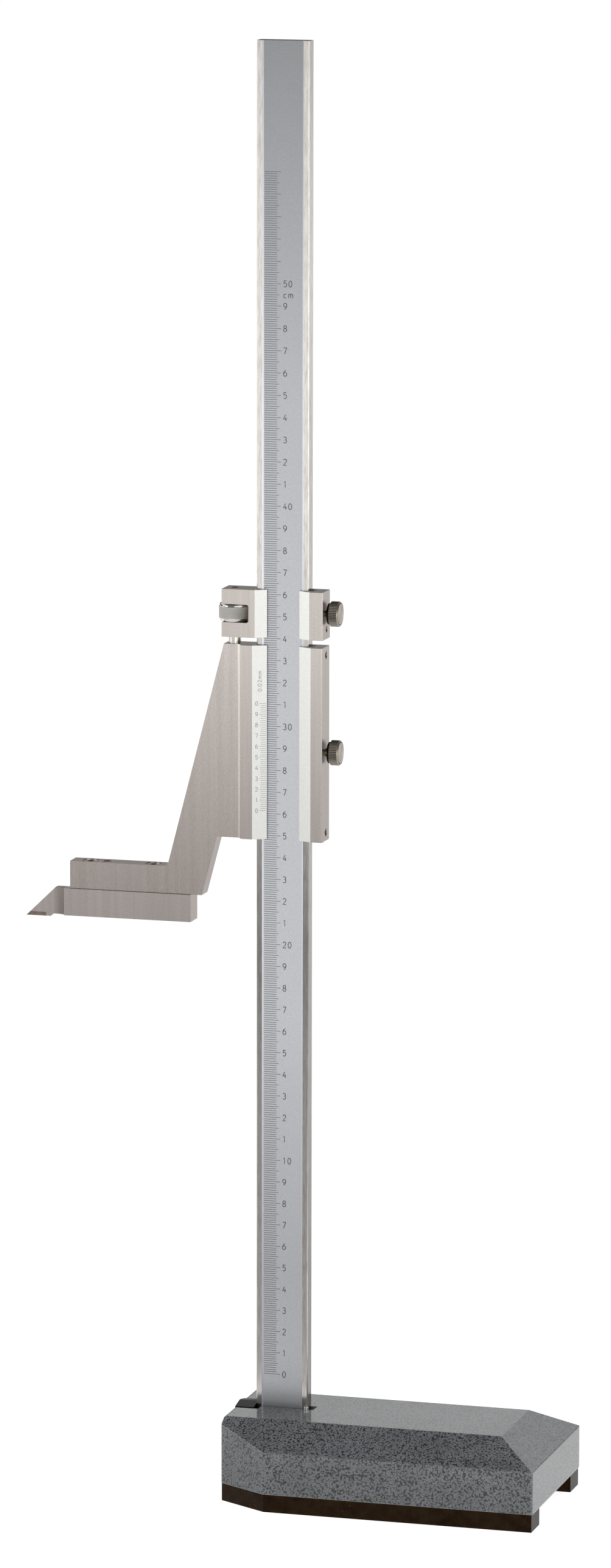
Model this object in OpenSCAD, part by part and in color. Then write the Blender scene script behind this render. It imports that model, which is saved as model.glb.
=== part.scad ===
// Vernier height gauge: heavy painted base, hardened beam with its scale, and a slider with a scriber.
// Millimetres, +Z up. The origin is on the surface that the gauge stands on, under the middle of the beam.
// X runs along the base, with the scriber towards -X, and the scale faces -Y.

/* [Setting] */
// Height of the scriber's edge above the table, as read on the scale
reading = 261.5; // [40:0.5:450]
// Height of the scale's zero line above the table
scale_zero = 54; // [52:1:58]

/* [Base] */
// Height of the base's flat top
base_h = 38.5; // [36:0.5:46]
// Width of the base
base_w = 88; // [80:1:110]
// Length of the base behind the beam, to its square end
base_back = 128.8; // [110:1:160]
// Length of the base ahead of the beam, to its nose
base_nose = 21; // [20.5:0.5:30]
// Width of the flat top
top_w = 49.5; // [40:0.5:60]
// Height of the chamfers round the top
chamfer_h = 10.8; // [6:0.2:14]
// Length of the chamfer at the square end
end_chamfer = 19.3; // [10:0.5:30]
// Width of the nose's flat end
nose_w = 59.6; // [48:0.5:70]
// Length of the slanted facets beside the nose
nose_facet = 23.8; // [12:0.5:30]

/* [Sole] */
// Thickness of the ground sole
sole_h = 8.3; // [7:0.1:10]
// Step between the painted casting and the sole
sole_inset = 0.5; // [0.2:0.1:1.5]
// Step between the casting and the sole at the nose
nose_inset = 0.1; // [0:0.1:1.5]
// Width of the sole's two rails
rail_w = 14.6; // [12:0.2:20]
// Length of the solid pad under the nose and the beam
pad_l = 44; // [36:1:60]
// Distance from the solid pad's end back to its screws
pad_screw_end = 12; // [8:1:16]
// Distance from the sole's square end to its last screws
rail_screw_end = 14; // [10:1:24]
// Length of the sole's screws in the casting
sole_screw_grip = 8; // [6:0.5:12]

/* [Beam] */
// Width of the beam
beam_w = 24.4; // [22:0.2:28]
// Thickness of the beam
beam_t = 6.6; // [6:0.1:8]
// Length of the beam, with its foot in the casting
beam_l = 650; // [560:1:700]
// Depth of the beam's seat in the casting
seat_depth = 26.2; // [18:0.2:28]
// Width of the recessed scale face
scale_w = 18.1; // [16:0.1:19]
// Depth of the scale face below the side strips
scale_depth = 0.4; // [0.1:0.05:0.6]
// Width of the slope at each side of the scale face
scale_slope = 0.55; // [0.2:0.05:1]
// Chamfer along the beam's edges
beam_chamfer = 0.4; // [0.2:0.1:0.8]

/* [Beam clamp] */
// Width of the clamp block
clamp_w = 15.4; // [15:0.2:18]
// Gap at each side of the clamp block in its groove
clamp_gap = 0.4; // [0.1:0.1:0.6]
// Height of the clamp block from its floor to the base's top
clamp_h = 17; // [12:0.5:20]
// Height of the clamp block's sides above the base's top
clamp_edge = 0.3; // [0:0.1:0.8]
// Height of the clamp block's ridge above the base's top
clamp_crown = 1.7; // [1:0.1:2.5]
// Length of the groove past the beam's left edge
groove_over = 2.3; // [0.8:0.1:4]
// Distance from the clamp block's sides in to its screws
clamp_screw_side = 2.8; // [2.6:0.1:2.8]
// Length of the clamp screws in the casting
clamp_screw_grip = 6; // [4:0.5:8]
// Length of the open pocket beside the beam's edge
relief_l = 2.6; // [1:0.2:4]
// Depth of that pocket
relief_h = 7; // [3:0.5:12]
// Diameter of the locating pin at the beam's foot
foot_pin_d = 2.2; // [1.6:0.1:3]
// Height of the locating pin above the base
foot_pin_h = 1.7; // [1:0.1:3]
// Depth of the locating pin in the base
foot_pin_in = 4; // [3:0.5:8]
// Distance from the beam's right edge in to the locating pin
foot_pin_side = 0.25; // [0:0.05:1.5]

/* [Slider] */
// Height of the slider along the beam
slider_h = 88.5; // [80:0.5:110]
// Distance from the slider's lower end up to the vernier's zero line
vernier_zero = 13.1; // [10:0.1:20]
// Height of the jaws in front of the beam's face
jaw_proud = 3.3; // [2.8:0.1:5]
// Thickness of the wall behind the beam
back_wall = 1.95; // [1.6:0.05:4]
// Thickness of the lips' edges
lip_edge = 0.35; // [0.2:0.05:0.8]
// Overlap of the vernier's lip on the beam's face
vernier_lap = 4.95; // [3.5:0.05:6]
// Overlap of the right lip on the beam's face
lip_lap = 4.3; // [3:0.1:6]
// Width of the slider's bevels, seen from the front
bevel_w = 6.1; // [4.8:0.1:7]
// Width of the flat beside the vernier
strip_w = 5.5; // [3:0.1:8]
// Width of the slider beyond the beam's right edge
right_wall = 7.2; // [6.4:0.1:9]
// Distance from the front of the jaws back to the arm's face
arm_set = 2.9; // [2:0.1:4]
// Fillet between the arm's face and the jaw
arm_fillet = 2.6; // [1:0.1:3]
// Chamfer on the right front edges of the slider and the fine block
edge_chamfer = 0.3; // [0.1:0.1:0.8]

/* [Arm] */
// Width of the arm's top, from the flat beside the vernier
arm_top_w = 8.65; // [7.6:0.05:14]
// Distance from the beam's centre out to the foot's end
foot_reach = 100.7; // [90:0.5:130]
// Height of the foot
foot_h = 12.7; // [10:0.1:16]
// Distance from the beam's centre to where the sloping edge meets the foot
slope_foot = 54.3; // [50:0.1:60]
// Distance from the beam's centre to the underside's lower corner
heel_low = 38; // [34:0.1:44]
// Distance from the beam's centre to the underside's upper corner
heel_high = 30.8; // [28:0.1:33]
// Fillet between the sloping edge and the foot
foot_fillet = 2.5; // [1:0.1:4]
// Distance from the foot's end to the first scriber screw
first_screw = 8.5; // [6:0.5:10]
// Distance between the two scriber screws
screw_step = 29.9; // [26:0.1:32]
// Distance from the first scriber screw to the dowel
dowel_step = 7.9; // [6.6:0.1:10]

/* [Scriber] */
// Height of the scriber's shank
shank_h = 12.6; // [10:0.1:14]
// Thickness of the shank
shank_t = 10.8; // [9:0.1:12]
// Length of the shank
shank_l = 60.3; // [54:0.1:61]
// Length of the shank that shows beyond the foot
shank_over = 2.7; // [1:0.1:4]
// Distance from the shank's underside down to the measuring edge
edge_drop = 0.9; // [0.5:0.1:2.5]
// Length of the blade beyond the shank
blade_l = 18.5; // [16:0.1:26]
// Thickness of the blade
blade_t = 4; // [3:0.1:6]
// Distance from the shank's front back to the blade's front
blade_set = 1.4; // [0.6:0.1:3]
// Height of the blade's underside above the shank's
blade_lift = 0.3; // [0.1:0.1:1]
// Radius of the ground hollows between the shank and the blade
hollow_r = 6; // [5:0.1:10]
// Length of the hollow behind the blade, past the shank's end
hollow_back = 6.4; // [4:0.1:8]
// Slope of the blade's leading edge, from the table
blade_slope = 44; // [35:0.5:55]
// Height of the carbide insert
carbide_h = 1.8; // [1:0.1:2.2]
// Length of the carbide insert along the measuring edge
carbide_l = 9.6; // [8:0.1:11]
// Length of the measuring edge past the carbide insert
edge_over = 2; // [1:0.1:2.5]

/* [Fine adjustment] */
// Height of the fine-adjustment block
fine_h = 21.8; // [20:0.2:26]
// Gap between the slider and the block
fine_gap = 3.5; // [2.6:0.1:5]
// Distance from the beam's centre to the block's left side
fine_reach = 27.7; // [27:0.1:30]
// Width of the bevel on the block's left lip
fine_bevel_l = 4.9; // [3:0.1:6]
// Width of the bevel on the block's right lip
fine_bevel_r = 5.4; // [3:0.1:6.4]
// Width of the block beyond the beam's right edge
fine_wall = 7.4; // [6.4:0.1:9]
// Distance from the beam's centre to the adjusting screw
rod_x = 23.3; // [22.6:0.1:23.8]
// Diameter of the adjusting screw
rod_d = 5.6; // [4.6:0.1:6]
// Diameter of the adjusting screw's upper end
rod_tip_d = 3.5; // [2.5:0.1:4]
// Length of the adjusting screw inside the slider
rod_seat = 12; // [8:0.5:20]
// Height of the nut's window
window_h = 8.2; // [7:0.1:9]
// Height of the web below the window
web_h = 6.7; // [6:0.1:8]
// Gap between the nut and the window's inner end
window_gap = 0.9; // [0.4:0.1:1.5]
// Fillet in the window's inner corners
window_fillet = 1.1; // [0.4:0.1:2]
// Length of the adjusting screw's thread above the window's floor
rod_grip = 5.8; // [5:0.1:5.9]
// Distance from the block's top down to the adjusting screw's end
rod_sink = 2.6; // [2.2:0.1:5]
// Diameter of the nut
nut_d = 14.6; // [13.6:0.1:15.4]
// Width of the nut's polished shoulders
nut_shoulder = 1; // [0.6:0.1:1.4]

/* [Locks] */
// Diameter of the knurled heads
knob_d = 11.4; // [9:0.1:13]
// Length of the knurled heads
knob_l = 5.7; // [5:0.1:7]
// Step from a head's ridges in to its turned ends
knob_step = 0.9; // [0.7:0.1:1.5]
// Length of the chamfer between a head's ridges and its turned ends
knob_chamfer = 0.65; // [0.4:0.05:0.8]
// Gap between the slider and its head
knob_gap = 1.5; // [1:0.1:3]
// Gap between the fine block and its head
fine_knob_gap = 1.1; // [0.8:0.1:3]
// Diameter of the bare neck under a head
neck_d = 2.8; // [2.4:0.1:3.6]
// Diameter of the lock screws' threads
lock_d = 3.9; // [3.6:0.1:4.2]
// Number of ridges round a knurled head
ridges = 44; // [24:2:60]
// Length of the brass plugs
plug_l = 1.6; // [1:0.1:2]
// Height of the slider's lock screw above the slider's lower end
lock_h = 40.4; // [30:0.1:50]
// Height of the fine block's lock screw above the block's lower end
fine_lock_h = 11.5; // [9.5:0.1:13]
// Thickness of the gibs
gib_t = 2; // [1.6:0.1:2.4]
// Diameter of the slider's gib screws
gib_screw_d = 3.4; // [3:0.1:4.4]
// Diameter of the fine block's gib screw
fine_gib_screw_d = 2.8; // [2.4:0.1:3.6]
// Distance from the side faces in to the gib screws' ends
gib_screw_sink = 0.3; // [0.1:0.1:1]
// Distance from the slider's ends to its gib screws
gib_screw_end = 3.8; // [3.5:0.1:8]
// Distance from the fine block's lower end to its gib screw
fine_gib_screw_h = 4.5; // [3.4:0.1:4.8]

/* [Hidden] */
$fn = 48;

// Clearances: between sliding faces, round a screw or pin in its hole, above a screw's head,
// past the end of a screw in a blind hole, and between the nut and its window
slide_gap = 0.05;
hole_gap = 0.04;
head_gap = 0.3;
end_gap = 2;
nut_gap = 0.1;
// Overrun of a cut past the face that it opens, and overlap of two shapes that become one
over = 1;
lap = 0.1;
// Radii of the painted casting's long edges and of the clamp block's ridge
cast_r = 0.8;
ridge_r = 4;

// Paint and metal colours
hammertone = [0.42, 0.46, 0.45];
blued = [0.16, 0.13, 0.11];
ground = [0.72, 0.69, 0.66];
satin = [0.86, 0.86, 0.86];
oxide = [0.12, 0.12, 0.12];
knurled = [0.6, 0.57, 0.52];
carbide = [0.42, 0.36, 0.3];
brass = [0.78, 0.62, 0.3];

// Beam
half_w = beam_w / 2;
half_t = beam_t / 2;
seat_z = base_h - seat_depth;

// Planes of the slider, front to back
jaw_y = -half_t - jaw_proud;
lip_y = -half_t - slide_gap;
edge_y = lip_y - lip_edge;
arm_y = jaw_y + arm_set;
back_y = half_t + slide_gap + back_wall;
arm_mid = (arm_y + back_y) / 2;

// Sides of the slider, left to right
vernier_x = -half_w + vernier_lap;
strip_right = vernier_x - bevel_w;
strip_left = strip_right - strip_w;
arm_left = strip_left - arm_top_w;
lip_x = half_w - lip_lap;
ridge_x = lip_x + bevel_w;
slider_right = half_w + right_wall;
gib_x = half_w + slide_gap;
pocket_x = gib_x + gib_t + slide_gap;

// Heights of the slider and what it carries
slider_z = scale_zero + reading - vernier_zero;
slider_top = slider_z + slider_h;
shank_z = reading + edge_drop;
foot_z = shank_z + shank_h;
foot_top = foot_z + foot_h;
lock_z = slider_z + lock_h;

// Fine block
fine_z = slider_top + fine_gap;
fine_top = fine_z + fine_h;
fine_right = half_w + fine_wall;
fine_lock_z = fine_z + fine_lock_h;
window_z = fine_z + web_h;
window_x = -rod_x + nut_d / 2 + window_gap;
nut_h = window_h - 2 * nut_gap;
gib_end = 0.6;

// Planes of the scriber, front to back
shank_front = arm_mid - shank_t / 2;
blade_front = shank_front + blade_set;
blade_back = blade_front + blade_t;

// Screws: nominal radius, head radius and head height
sole_screw = [2.5, 4.25, 5];
scriber_screw = [2, 3.5, 4];
clamp_screw = [1.25, 2.25, 2.5];
dowel_r = 1.85;

// Where the sole's screws stand, as points on the sole
rail_mid = base_w / 2 - sole_inset - rail_w / 2;
first_sole_screw = pad_l - base_nose - pad_screw_end;
last_sole_screw = base_back - rail_screw_end;
sole_screw_at = [
    for (x = [first_sole_screw, (first_sole_screw + last_sole_screw) / 2, last_sole_screw])
        for (side = [-1, 1])
            [x, side * rail_mid]
];
sole_screw_l = sole_h - sole_screw[2] + sole_screw_grip;

function unit(v) = v / norm(v);

// Arc that rounds the corner b between its neighbours a and c
function rounded(a, b, c, r, steps = 8) =
    let (
        u = unit(a - b),
        v = unit(c - b),
        half = acos(u * v) / 2,
        middle = b + unit(u + v) * r / sin(half),
        first = b + u * r / tan(half) - middle,
        start = atan2(first[1], first[0]),
        sweep = (cross(u, v) < 0 ? 1 : -1) * (180 - 2 * half)
    )
    [for (i = [0:steps]) middle + r * [cos(start + sweep * i / steps), sin(start + sweep * i / steps)]];

// Outline with the corners rounded that have a radius in the second list
function softened(points, radii) =
    let (n = len(points))
    [
        for (i = [0:n - 1])
            each radii[i] > 0
                ? rounded(points[(i + n - 1) % n], points[i], points[(i + 1) % n], radii[i], 4)
                : [points[i]]
    ];

// Ground hollow that starts along X and curves away to a depth
function hollow(depth, steps = 8) =
    let (
        r = max(hollow_r, depth),
        sweep = acos(1 - depth / r)
    )
    [for (i = [0:steps]) r * [sin(sweep * i / steps), 1 - cos(sweep * i / steps)]];

// Plan of the base, drawn in by one inset at the sides and another at the nose
function base_plan(inset, nose) =
    let (
        drop = (base_w - nose_w) / 2,
        run = norm([nose_facet, drop]),
        nose_y = nose_w / 2 + (nose * drop - inset * run) / nose_facet,
        facet_x = nose_facet - base_nose + inset * (run - nose_facet) / drop
    )
    [
        [nose - base_nose, -nose_y],
        [facet_x, inset - base_w / 2],
        [base_back - inset, inset - base_w / 2],
        [base_back - inset, base_w / 2 - inset],
        [facet_x, base_w / 2 - inset],
        [nose - base_nose, nose_y]
    ];

// Outline drawn in X and Z, made solid from one Y to another
module side_plate(y_from, y_to) {
    translate([0, y_to, 0])
        rotate([90, 0, 0])
            linear_extrude(height = y_to - y_from)
                children();
}

// Cylinder along +X from a point
module x_cylinder(x_from, x_to, y, z, r) {
    translate([x_from, y, z])
        rotate([0, 90, 0])
            cylinder(h = x_to - x_from, r = r);
}

// Socket-head screw with its head's top at the origin and its shank down -Z
module cap_screw(size, length) {
    socket_r = size[0] * 0.8;
    difference() {
        union() {
            translate([0, 0, -size[2]])
                cylinder(h = size[2], r = size[1]);
            translate([0, 0, -size[2] - length])
                cylinder(h = length, r = size[0]);
        }
        translate([0, 0, -size[2] / 2])
            cylinder(h = size[2], r = socket_r, $fn = 6);
    }
}

// Stepped hole for such a screw, open above its head
module cap_hole(size, length) {
    translate([0, 0, -size[2]])
        cylinder(h = size[2] + over, r = size[1] + hole_gap * 4);
    translate([0, 0, -size[2] - length])
        cylinder(h = length + over, r = size[0] + hole_gap);
}

// Socket set screw along X, with its socket at the +X end
module set_screw(x_from, x_to, z, r) {
    socket_r = r * 0.58;
    socket_depth = 1.6;
    difference() {
        x_cylinder(x_from, x_to, 0, z, r);
        translate([x_to - socket_depth, 0, z])
            rotate([0, 90, 0])
                cylinder(h = socket_depth + over, r = socket_r, $fn = 6);
    }
}

// Knurled lock screw along X: thread in its block, bare neck, and a ridged head with turned ends
module lock_screw(plug_end, face_x, gap, z) {
    head_x = face_x + gap;
    thread_end = face_x - 0.4;
    ridge_h = 0.28;
    root_r = knob_d / 2 - ridge_h;
    end_r = knob_d / 2 - knob_step;
    collar_l = 0.6;
    dome_l = 0.2;
    groove_w = 0.35;
    groove_l = 0.5;
    band_from = collar_l + knob_chamfer;
    band_to = knob_l - dome_l - collar_l;
    x_cylinder(plug_end, thread_end, 0, z, lock_d / 2);
    x_cylinder(thread_end - lap, head_x + lap, 0, z, neck_d / 2);
    translate([head_x, 0, z])
        rotate([0, 90, 0]) {
            rotate_extrude()
                polygon([
                    [0, 0], [end_r, 0], [end_r, collar_l], [root_r, band_from], [root_r, band_to],
                    [end_r + groove_w, band_to + groove_l], [end_r, band_to + groove_l / 2],
                    [end_r, knob_l - dome_l - lap], [end_r - lap, knob_l - dome_l], [0, knob_l]
                ]);
            translate([0, 0, band_from])
                linear_extrude(height = band_to - band_from)
                    polygon([
                        for (i = [0:2 * ridges - 1])
                            let (r = i % 2 == 0 ? knob_d / 2 : root_r - lap / 4, a = 180 * i / ridges)
                                [r * cos(a), r * sin(a)]
                    ]);
        }
}

// Section of a jaw body that wraps the beam, in X and Y
module jaw_section(left, flat_left, right, ridge, bevel_left) {
    polygon(concat(
        [
            [left, back_y], [left, flat_left < left ? jaw_y : arm_y]
        ],
        flat_left < left ? [] : concat(
            rounded([left, arm_y], [flat_left, arm_y], [flat_left, jaw_y], arm_fillet),
            [[flat_left, jaw_y]]
        ),
        [
            [vernier_x - bevel_left, jaw_y], [vernier_x, edge_y], [vernier_x, lip_y],
            [-half_w - slide_gap, lip_y], [-half_w - slide_gap, -lip_y],
            [pocket_x, -lip_y], [pocket_x, lip_y],
            [lip_x, lip_y], [lip_x, edge_y], [ridge, jaw_y],
            [right - edge_chamfer, jaw_y], [right, jaw_y + edge_chamfer], [right, back_y]
        ]
    ));
}

module base_casting() {
    color(hammertone)
        difference() {
            intersection() {
                translate([-base_nose, 0, 0])
                    rotate([90, 0, 90])
                        linear_extrude(height = base_nose + base_back)
                            polygon(softened([
                                [-base_w / 2, sole_h], [base_w / 2, sole_h],
                                [base_w / 2, base_h - chamfer_h], [top_w / 2, base_h],
                                [-top_w / 2, base_h], [-base_w / 2, base_h - chamfer_h]
                            ], [0, 0, cast_r, cast_r, cast_r, cast_r]));
                side_plate(-base_w / 2, base_w / 2)
                    polygon(softened([
                        [-base_nose, sole_h], [base_back, sole_h], [base_back, base_h - chamfer_h],
                        [base_back - end_chamfer, base_h], [-base_nose, base_h]
                    ], [0, 0, cast_r, cast_r, cast_r]));
                linear_extrude(height = base_h)
                    polygon(softened(base_plan(0, 0), [for (corner = [0:5]) cast_r]));
            }
            beam_seat();
            clamp_groove();
            sole_screw_holes();
            clamp_screw_holes();
            foot_pin_at()
                cylinder(h = foot_pin_in + over, r = foot_pin_d / 2 + hole_gap, $fn = 32);
        }
}

// Slot that takes the beam's foot, longer at the top behind the beam's edge
module beam_seat() {
    translate([-half_w - over, -half_t - slide_gap, seat_z])
        cube([beam_w + over, beam_t + 2 * slide_gap, seat_depth + over]);
    translate([half_w - over, -half_t - slide_gap, base_h - relief_h])
        cube([relief_l + over, beam_t + 2 * slide_gap, relief_h + over]);
}

// Groove for the clamp block, from the nose to just past the beam's left edge
module clamp_groove() {
    groove_w = clamp_w + 2 * clamp_gap;
    translate([-base_nose - over, -groove_w / 2, base_h - clamp_h])
        cube([base_nose + over - half_w + groove_over, groove_w, clamp_h + over]);
}

module sole_screw_holes() {
    for (at = sole_screw_at)
        translate([at[0], at[1], 0])
            cylinder(h = sole_h + sole_screw_grip + end_gap, r = sole_screw[0] + hole_gap);
}

// Clamp screws: one each side of the beam, along +X from the nose
module clamp_screws_at() {
    for (side = [-1, 1])
        translate([-base_nose + head_gap, side * (clamp_w / 2 - clamp_screw_side), base_h - clamp_h / 2])
            rotate([0, -90, 0])
                children();
}

module clamp_screw_holes() {
    clamp_screws_at()
        cap_hole(clamp_screw, base_nose - half_w + clamp_screw_grip - clamp_screw[2] + end_gap);
}

// Place of the locating pin's lower end
module foot_pin_at() {
    pin_gap = 0.02;
    translate([half_w - foot_pin_side, -half_t - foot_pin_d / 2 - pin_gap, base_h - foot_pin_in])
        children();
}

module base_sole() {
    color(blued)
        difference() {
            linear_extrude(height = sole_h)
                polygon(base_plan(sole_inset, nose_inset));
            translate([pad_l - base_nose, rail_w + sole_inset - base_w / 2, -over])
                cube([base_back, base_w - 2 * rail_w - 2 * sole_inset, sole_h + 2 * over]);
            for (at = sole_screw_at)
                translate([at[0], at[1], head_gap])
                    mirror([0, 0, 1])
                        cap_hole(sole_screw, sole_h);
        }
}

module sole_screws() {
    color(oxide)
        for (at = sole_screw_at)
            translate([at[0], at[1], head_gap])
                mirror([0, 0, 1])
                    cap_screw(sole_screw, sole_screw_l);
}

module beam() {
    c = beam_chamfer;
    floor_w = scale_w / 2;
    wall_w = floor_w + scale_slope;
    color(satin)
        translate([0, 0, seat_z])
            linear_extrude(height = beam_l)
                polygon([
                    [c - half_w, -half_t], [-wall_w, -half_t], [-floor_w, scale_depth - half_t],
                    [floor_w, scale_depth - half_t], [wall_w, -half_t], [half_w - c, -half_t],
                    [half_w, c - half_t], [half_w, half_t - c], [half_w - c, half_t],
                    [c - half_w, half_t], [-half_w, half_t - c], [-half_w, c - half_t]
                ]);
}

module beam_clamp_block() {
    low = base_h - clamp_h;
    shoulder = base_h + clamp_edge;
    left = [-clamp_w / 2, shoulder];
    right = [clamp_w / 2, shoulder];
    color(oxide)
        difference() {
            translate([-base_nose, 0, 0])
                rotate([90, 0, 90])
                    linear_extrude(height = base_nose - half_w)
                        polygon(concat(
                            [left, [-clamp_w / 2, low], [clamp_w / 2, low], right],
                            rounded(right, [0, base_h + clamp_crown], left, ridge_r)
                        ));
            clamp_screw_holes();
        }
}

module beam_clamp_screws() {
    color(oxide)
        clamp_screws_at()
            cap_screw(clamp_screw, base_nose - half_w + clamp_screw_grip - clamp_screw[2]);
}

module beam_locating_pin() {
    round_r = 0.5;
    r = foot_pin_d / 2;
    h = foot_pin_in + foot_pin_h;
    color(satin)
        foot_pin_at()
            rotate_extrude($fn = 32)
                polygon(concat([[0, 0]], [[r, 0]], rounded([r, 0], [r, h], [0, h], round_r), [[0, h]]));
}

// Side view of the arm: top, slope, foot and underside
module arm_outline() {
    top_left = [arm_left, slider_top];
    slope_end = [-slope_foot, foot_top];
    foot_end = [-foot_reach, foot_top];
    root = strip_left + 0.5;
    polygon(concat(
        [[root, slider_top], top_left],
        rounded(top_left, slope_end, foot_end, foot_fillet),
        [
            foot_end, [-foot_reach, foot_z], [-heel_low, foot_z],
            [-heel_high, slider_z], [root, slider_z]
        ]
    ));
}

module slider_frame() {
    color(ground)
        difference() {
            union() {
                side_plate(arm_y, back_y)
                    arm_outline();
                translate([0, 0, slider_z])
                    linear_extrude(height = slider_h)
                        jaw_section(
                            strip_left - arm_fillet - lap, strip_left, slider_right, ridge_x, bevel_w
                        );
            }
            x_cylinder(pocket_x - over, slider_right + over, 0, lock_z, lock_d / 2 + hole_gap);
            for (z = [slider_z + gib_screw_end, slider_top - gib_screw_end])
                x_cylinder(pocket_x - over, slider_right + over, 0, z, gib_screw_d / 2 + hole_gap);
            translate([-rod_x, 0, slider_top - rod_seat])
                cylinder(h = rod_seat + over, r = rod_d / 2 + hole_gap);
            scriber_screws_at()
                cap_hole(scriber_screw, foot_h);
            dowel(dowel_r + hole_gap, 2 * over);
        }
}

// Heads of the scriber's screws, sunk in the foot's top
module scriber_screws_at() {
    for (step = [0, screw_step])
        translate([first_screw - foot_reach + step, arm_mid, foot_top - head_gap])
            children();
}

// Dowel through the foot into the shank, a little below the foot's top
module dowel(r, above) {
    dowel_in = shank_h * 0.6;
    dowel_sink = 0.9;
    translate([first_screw + dowel_step - foot_reach, arm_mid, foot_z - dowel_in])
        cylinder(h = dowel_in + foot_h - dowel_sink + above, r = r);
}

module slider_gib() {
    color(ground)
        translate([gib_x, -half_t, slider_z + gib_end])
            cube([gib_t, beam_t, slider_h - 2 * gib_end]);
}

module slider_gib_screws() {
    color(ground)
        for (z = [slider_z + gib_screw_end, slider_top - gib_screw_end])
            set_screw(gib_x + gib_t, slider_right - gib_screw_sink, z, gib_screw_d / 2);
}

module slider_lock_plug() {
    color(brass)
        x_cylinder(gib_x + gib_t, gib_x + gib_t + plug_l, 0, lock_z, lock_d / 2);
}

module slider_lock_screw() {
    color(knurled)
        lock_screw(gib_x + gib_t + plug_l, slider_right, knob_gap, lock_z);
}

// Plan of the scriber: the shank's bar, ground hollow at both sides to leave the blade
function scriber_plan(tip_x) =
    let (
        left = -foot_reach - shank_over,
        right = left + shank_l,
        back = shank_front + shank_t,
        front_hollow = hollow(blade_set),
        back_hollow = hollow(back - blade_back),
        front_x = left - front_hollow[len(front_hollow) - 1][0],
        back_x = left + hollow_back - back_hollow[len(back_hollow) - 1][0]
    )
    concat(
        [[right - edge_chamfer, shank_front]],
        [
            for (i = [len(front_hollow) - 1:-1:0])
                [front_x + front_hollow[i][0], blade_front - front_hollow[i][1]]
        ],
        [[tip_x, blade_front], [tip_x, blade_back]],
        [for (p = back_hollow) [back_x + p[0], blade_back + p[1]]],
        [[right, back], [right, shank_front + edge_chamfer]]
    );

module scriber_blade() {
    shank_left = -foot_reach - shank_over;
    shank_right = shank_left + shank_l;
    tip_x = shank_left - blade_l;
    slope_x = (foot_z - reading) / tan(blade_slope);
    seat_x = carbide_h / tan(blade_slope);
    insert_end = tip_x + carbide_l;
    step_x = insert_end + edge_over;
    blade_low = shank_z + blade_lift;
    color(ground)
        difference() {
            intersection() {
                translate([0, 0, reading])
                    linear_extrude(height = foot_z - reading)
                        polygon(scriber_plan(tip_x));
                side_plate(shank_front, shank_front + shank_t)
                    polygon([
                        [shank_right, foot_z], [tip_x + slope_x, foot_z],
                        [tip_x + seat_x, reading + carbide_h], [insert_end, reading + carbide_h],
                        [insert_end, reading], [step_x, reading],
                        [step_x + edge_drop + blade_lift, blade_low], [shank_left, blade_low],
                        [shank_left, shank_z], [shank_right, shank_z]
                    ]);
            }
            scriber_screws_at()
                translate([0, 0, head_gap - foot_h - shank_h - over])
                    cylinder(h = shank_h + 2 * over, r = scriber_screw[0] + hole_gap);
            dowel(dowel_r + hole_gap, 2 * over);
        }
}

module carbide_tip() {
    tip_x = -foot_reach - shank_over - blade_l;
    seat_x = carbide_h / tan(blade_slope);
    color(carbide)
        side_plate(blade_front, blade_back)
            polygon([
                [tip_x, reading], [tip_x + carbide_l, reading],
                [tip_x + carbide_l, reading + carbide_h], [tip_x + seat_x, reading + carbide_h]
            ]);
}

module scriber_screws() {
    color(oxide)
        scriber_screws_at()
            cap_screw(scriber_screw, foot_h - scriber_screw[2] + shank_h * 0.5);
}

module scriber_dowel() {
    color(ground)
        dowel(dowel_r, 0);
}

module adjusting_screw() {
    shoulder_z = window_z + rod_grip;
    color(ground)
        union() {
            translate([-rod_x, 0, slider_top - rod_seat])
                cylinder(h = shoulder_z - slider_top + rod_seat, r = rod_d / 2);
            translate([-rod_x, 0, shoulder_z - over])
                cylinder(h = fine_top - rod_sink - shoulder_z + over, r = rod_tip_d / 2);
        }
}

module fine_block() {
    color(ground)
        difference() {
            translate([0, 0, fine_z])
                linear_extrude(height = fine_h)
                    jaw_section(
                        -fine_reach, -fine_reach - over, fine_right, lip_x + fine_bevel_r, fine_bevel_l
                    );
            side_plate(jaw_y - over, back_y + over)
                nut_window();
            translate([-rod_x, 0, fine_z - over])
                cylinder(h = web_h + 2 * over, r = rod_d / 2 + slide_gap);
            translate([-rod_x, 0, window_z])
                cylinder(h = fine_h, r = rod_tip_d / 2 + slide_gap);
            x_cylinder(pocket_x - over, fine_right + over, 0, fine_lock_z, lock_d / 2 + hole_gap);
            x_cylinder(pocket_x - over, fine_right + over, 0, fine_z + fine_gib_screw_h,
                fine_gib_screw_d / 2 + hole_gap);
        }
}

// Window for the nut, open at the block's left side, with rounded inner corners
module nut_window() {
    left = -fine_reach - over;
    low = [window_x, window_z];
    high = [window_x, window_z + window_h];
    polygon(concat(
        [[left, window_z]],
        rounded([left, window_z], low, high, window_fillet),
        rounded(low, high, [left, window_z + window_h], window_fillet),
        [[left, window_z + window_h]]
    ));
}

module fine_gib() {
    color(ground)
        translate([gib_x, -half_t, fine_z + gib_end])
            cube([gib_t, beam_t, fine_h - 2 * gib_end]);
}

module fine_gib_screw() {
    color(ground)
        set_screw(
            gib_x + gib_t, fine_right - gib_screw_sink, fine_z + fine_gib_screw_h, fine_gib_screw_d / 2
        );
}

module fine_lock_plug() {
    color(brass)
        x_cylinder(gib_x + gib_t, gib_x + gib_t + plug_l, 0, fine_lock_z, lock_d / 2);
}

module fine_lock_screw() {
    color(knurled)
        lock_screw(gib_x + gib_t + plug_l, fine_right, fine_knob_gap, fine_lock_z);
}

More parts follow.
